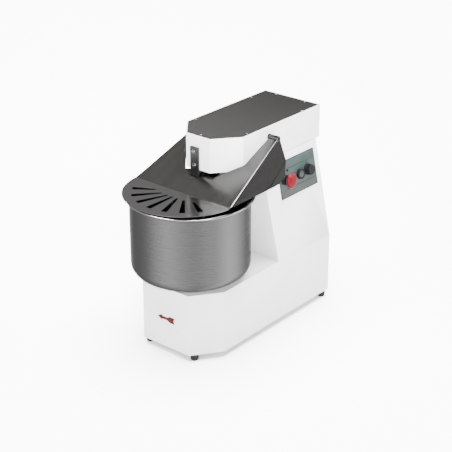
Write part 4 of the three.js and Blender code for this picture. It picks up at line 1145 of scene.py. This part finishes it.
def add_light(name, kind, azimuth, elevation, energy, at=(0, 0, 0), **settings):
    """A soft light that the steels do not mirror."""
    data = bpy.data.lights.new(name, kind)
    data.energy = energy
    for setting, value in settings.items():
        setattr(data, setting, value)
    light = bpy.data.objects.new(name, data)
    light.location = at
    light.rotation_euler = towards(azimuth, elevation).to_track_quat("Z", "Y").to_euler()
    light.visible_glossy = False
    scene.collection.objects.link(light)


def add_lights():
    wide = math.radians(60)
    add_light("overhead", "SUN", 0, 90, 36, angle=wide)
    add_light("front_fill", "SUN", -10, 20, 5, angle=wide)
    # Soft spot on the head and the top of the column, so that the casings grow brighter towards the top.
    azimuth, elevation, distance = 50, 25, 2.4
    at = Vector((0.05, 0.0, 0.56)) + towards(azimuth, elevation) * distance
    add_light("head_light", "SPOT", azimuth, elevation, 2600, at, spot_size=math.radians(22), spot_blend=1,
              shadow_soft_size=0.4)


def add_world():
    """The studio that the steels mirror: walls, soft panels below the horizon, softboxes and narrow lamps."""
    world = bpy.data.worlds.new("studio")
    scene.world = world
    world.use_nodes = True
    world.node_tree.nodes.clear()
    world.cycles_visibility.diffuse = False
    node = functools.partial(add_node, world.node_tree)

    def ramp(value, stops, span, full):
        """Levels at angles that run from -span / 2 to span / 2, as shares of the full level."""
        made = node("ValToRGB", {0: value})
        elements = made.color_ramp.elements
        elements.remove(elements[1])
        for i, (angle, level) in enumerate(stops):
            place = 0.5 + angle / span
            element = elements[0] if i == 0 else elements.new(place)
            element.position = place
            tone = level if isinstance(level, tuple) else (level, level, level)
            element.color = (*(channel / full for channel in tone), 1)
        return made.outputs[0]

    def mixed(kind, factor, first, second):
        return node("Mix", {0: factor, 6: first, 7: second}, data_type="RGBA", blend_type=kind).outputs[2]

    def share(angle, half):
        """An angle from -half to half as a value from 0 to 1."""
        return node("MapRange", {"Value": angle, "From Min": -half, "From Max": half}).outputs[0]

    direction = node("TexCoord").outputs["Generated"]
    x, y, z = node("SeparateXYZ", {0: direction}).outputs
    height = share(node("Math", {0: z}, operation="ARCSINE").outputs[0], math.pi / 2)
    forward = node("Math", {0: y, 1: -1.0}, operation="MULTIPLY").outputs[0]
    around = share(node("Math", {0: x, 1: forward}, operation="ARCTAN2").outputs[0], math.pi)
    colour = mixed("MIX", ramp(height, PANEL_BAND, 180, 1), ramp(height, WALL_LEVELS, 180, FULL),
                   ramp(around, PANEL_LEVELS, 360, FULL))
    for azimuth, elevation, size, strength in SOFTBOXES:
        aim = node("VectorMath", {0: direction, 1: towards(azimuth, elevation)}, operation="DOT_PRODUCT")
        edge = {"Value": aim.outputs["Value"], "From Min": math.cos(math.radians(size + 2)),
                "From Max": math.cos(math.radians(size - 1)), "To Max": strength / FULL}
        colour = mixed("ADD", 1.0, colour, node("MapRange", edge).outputs[0])
    strip = mixed("MULTIPLY", 1.0, ramp(around, STRIP_LEVELS, 360, FULL), ramp(height, STRIP_BAND, 180, 1))
    background = node("Background", {"Color": mixed("ADD", 1.0, colour, strip), "Strength": FULL})
    node("OutputWorld", {0: background.outputs[0]})


FULL = 10.0  # radiance of a full ramp value
# (height above the horizon, level): the walls and ceiling of the studio.
WALL_LEVELS = [(-90, 2.6), (-50, 3.0), (-12, 2.0), (0, 1.3), (10, 1.7), (22, 2.05), (30, 1.95), (40, 1.3),
               (53, (0.86, 0.84, 0.76)), (70, 1.1), (90, 1.5)]
# (azimuth, level): soft panels standing round the floor, seen in the bowl.
PANEL_LEVELS = [(-180, 2.3), (-140, 1.8), (-103, 2.2), (-70, 1.9), (-52, 2.1), (-34, 3.2), (-20, 3.7),
                (-1, 4.7), (20, 4.9), (35, 3.9), (45, 2.9), (60, 2.5), (85, 4.2), (100, 6.2), (118, 8.5),
                (135, 7.7), (150, 5.8), (180, 2.4)]
# (height, share): how much of the panels is seen at each height.
PANEL_BAND = [(-90, 0.5), (-60, 0.8), (-42, 1), (-18, 1), (-6, 0), (90, 0)]
# (azimuth, level) and (height, share): narrow lamps above the horizon, which glint on rims and bends.
STRIP_LEVELS = [(-180, 50), (-176, 0), (-30, 0), (-24, 170), (8, 170), (14, 4), (38, 4), (43, 100), (55, 100),
                (57.5, 4), (61, 150), (76, 150), (80, 3), (118, 3), (122, 36), (140, 36), (146, 0), (158, 0),
                (163, 60), (180, 50)]
STRIP_BAND = [(-90, 0), (10, 0), (12, 1), (19, 1), (21, 0), (90, 0)]
# (azimuth, elevation, half width in degrees, radiance)
SOFTBOXES = [(0, 90, 11, 80), (121, 66, 13, 80)]

add_floor()
add_lights()
add_world()
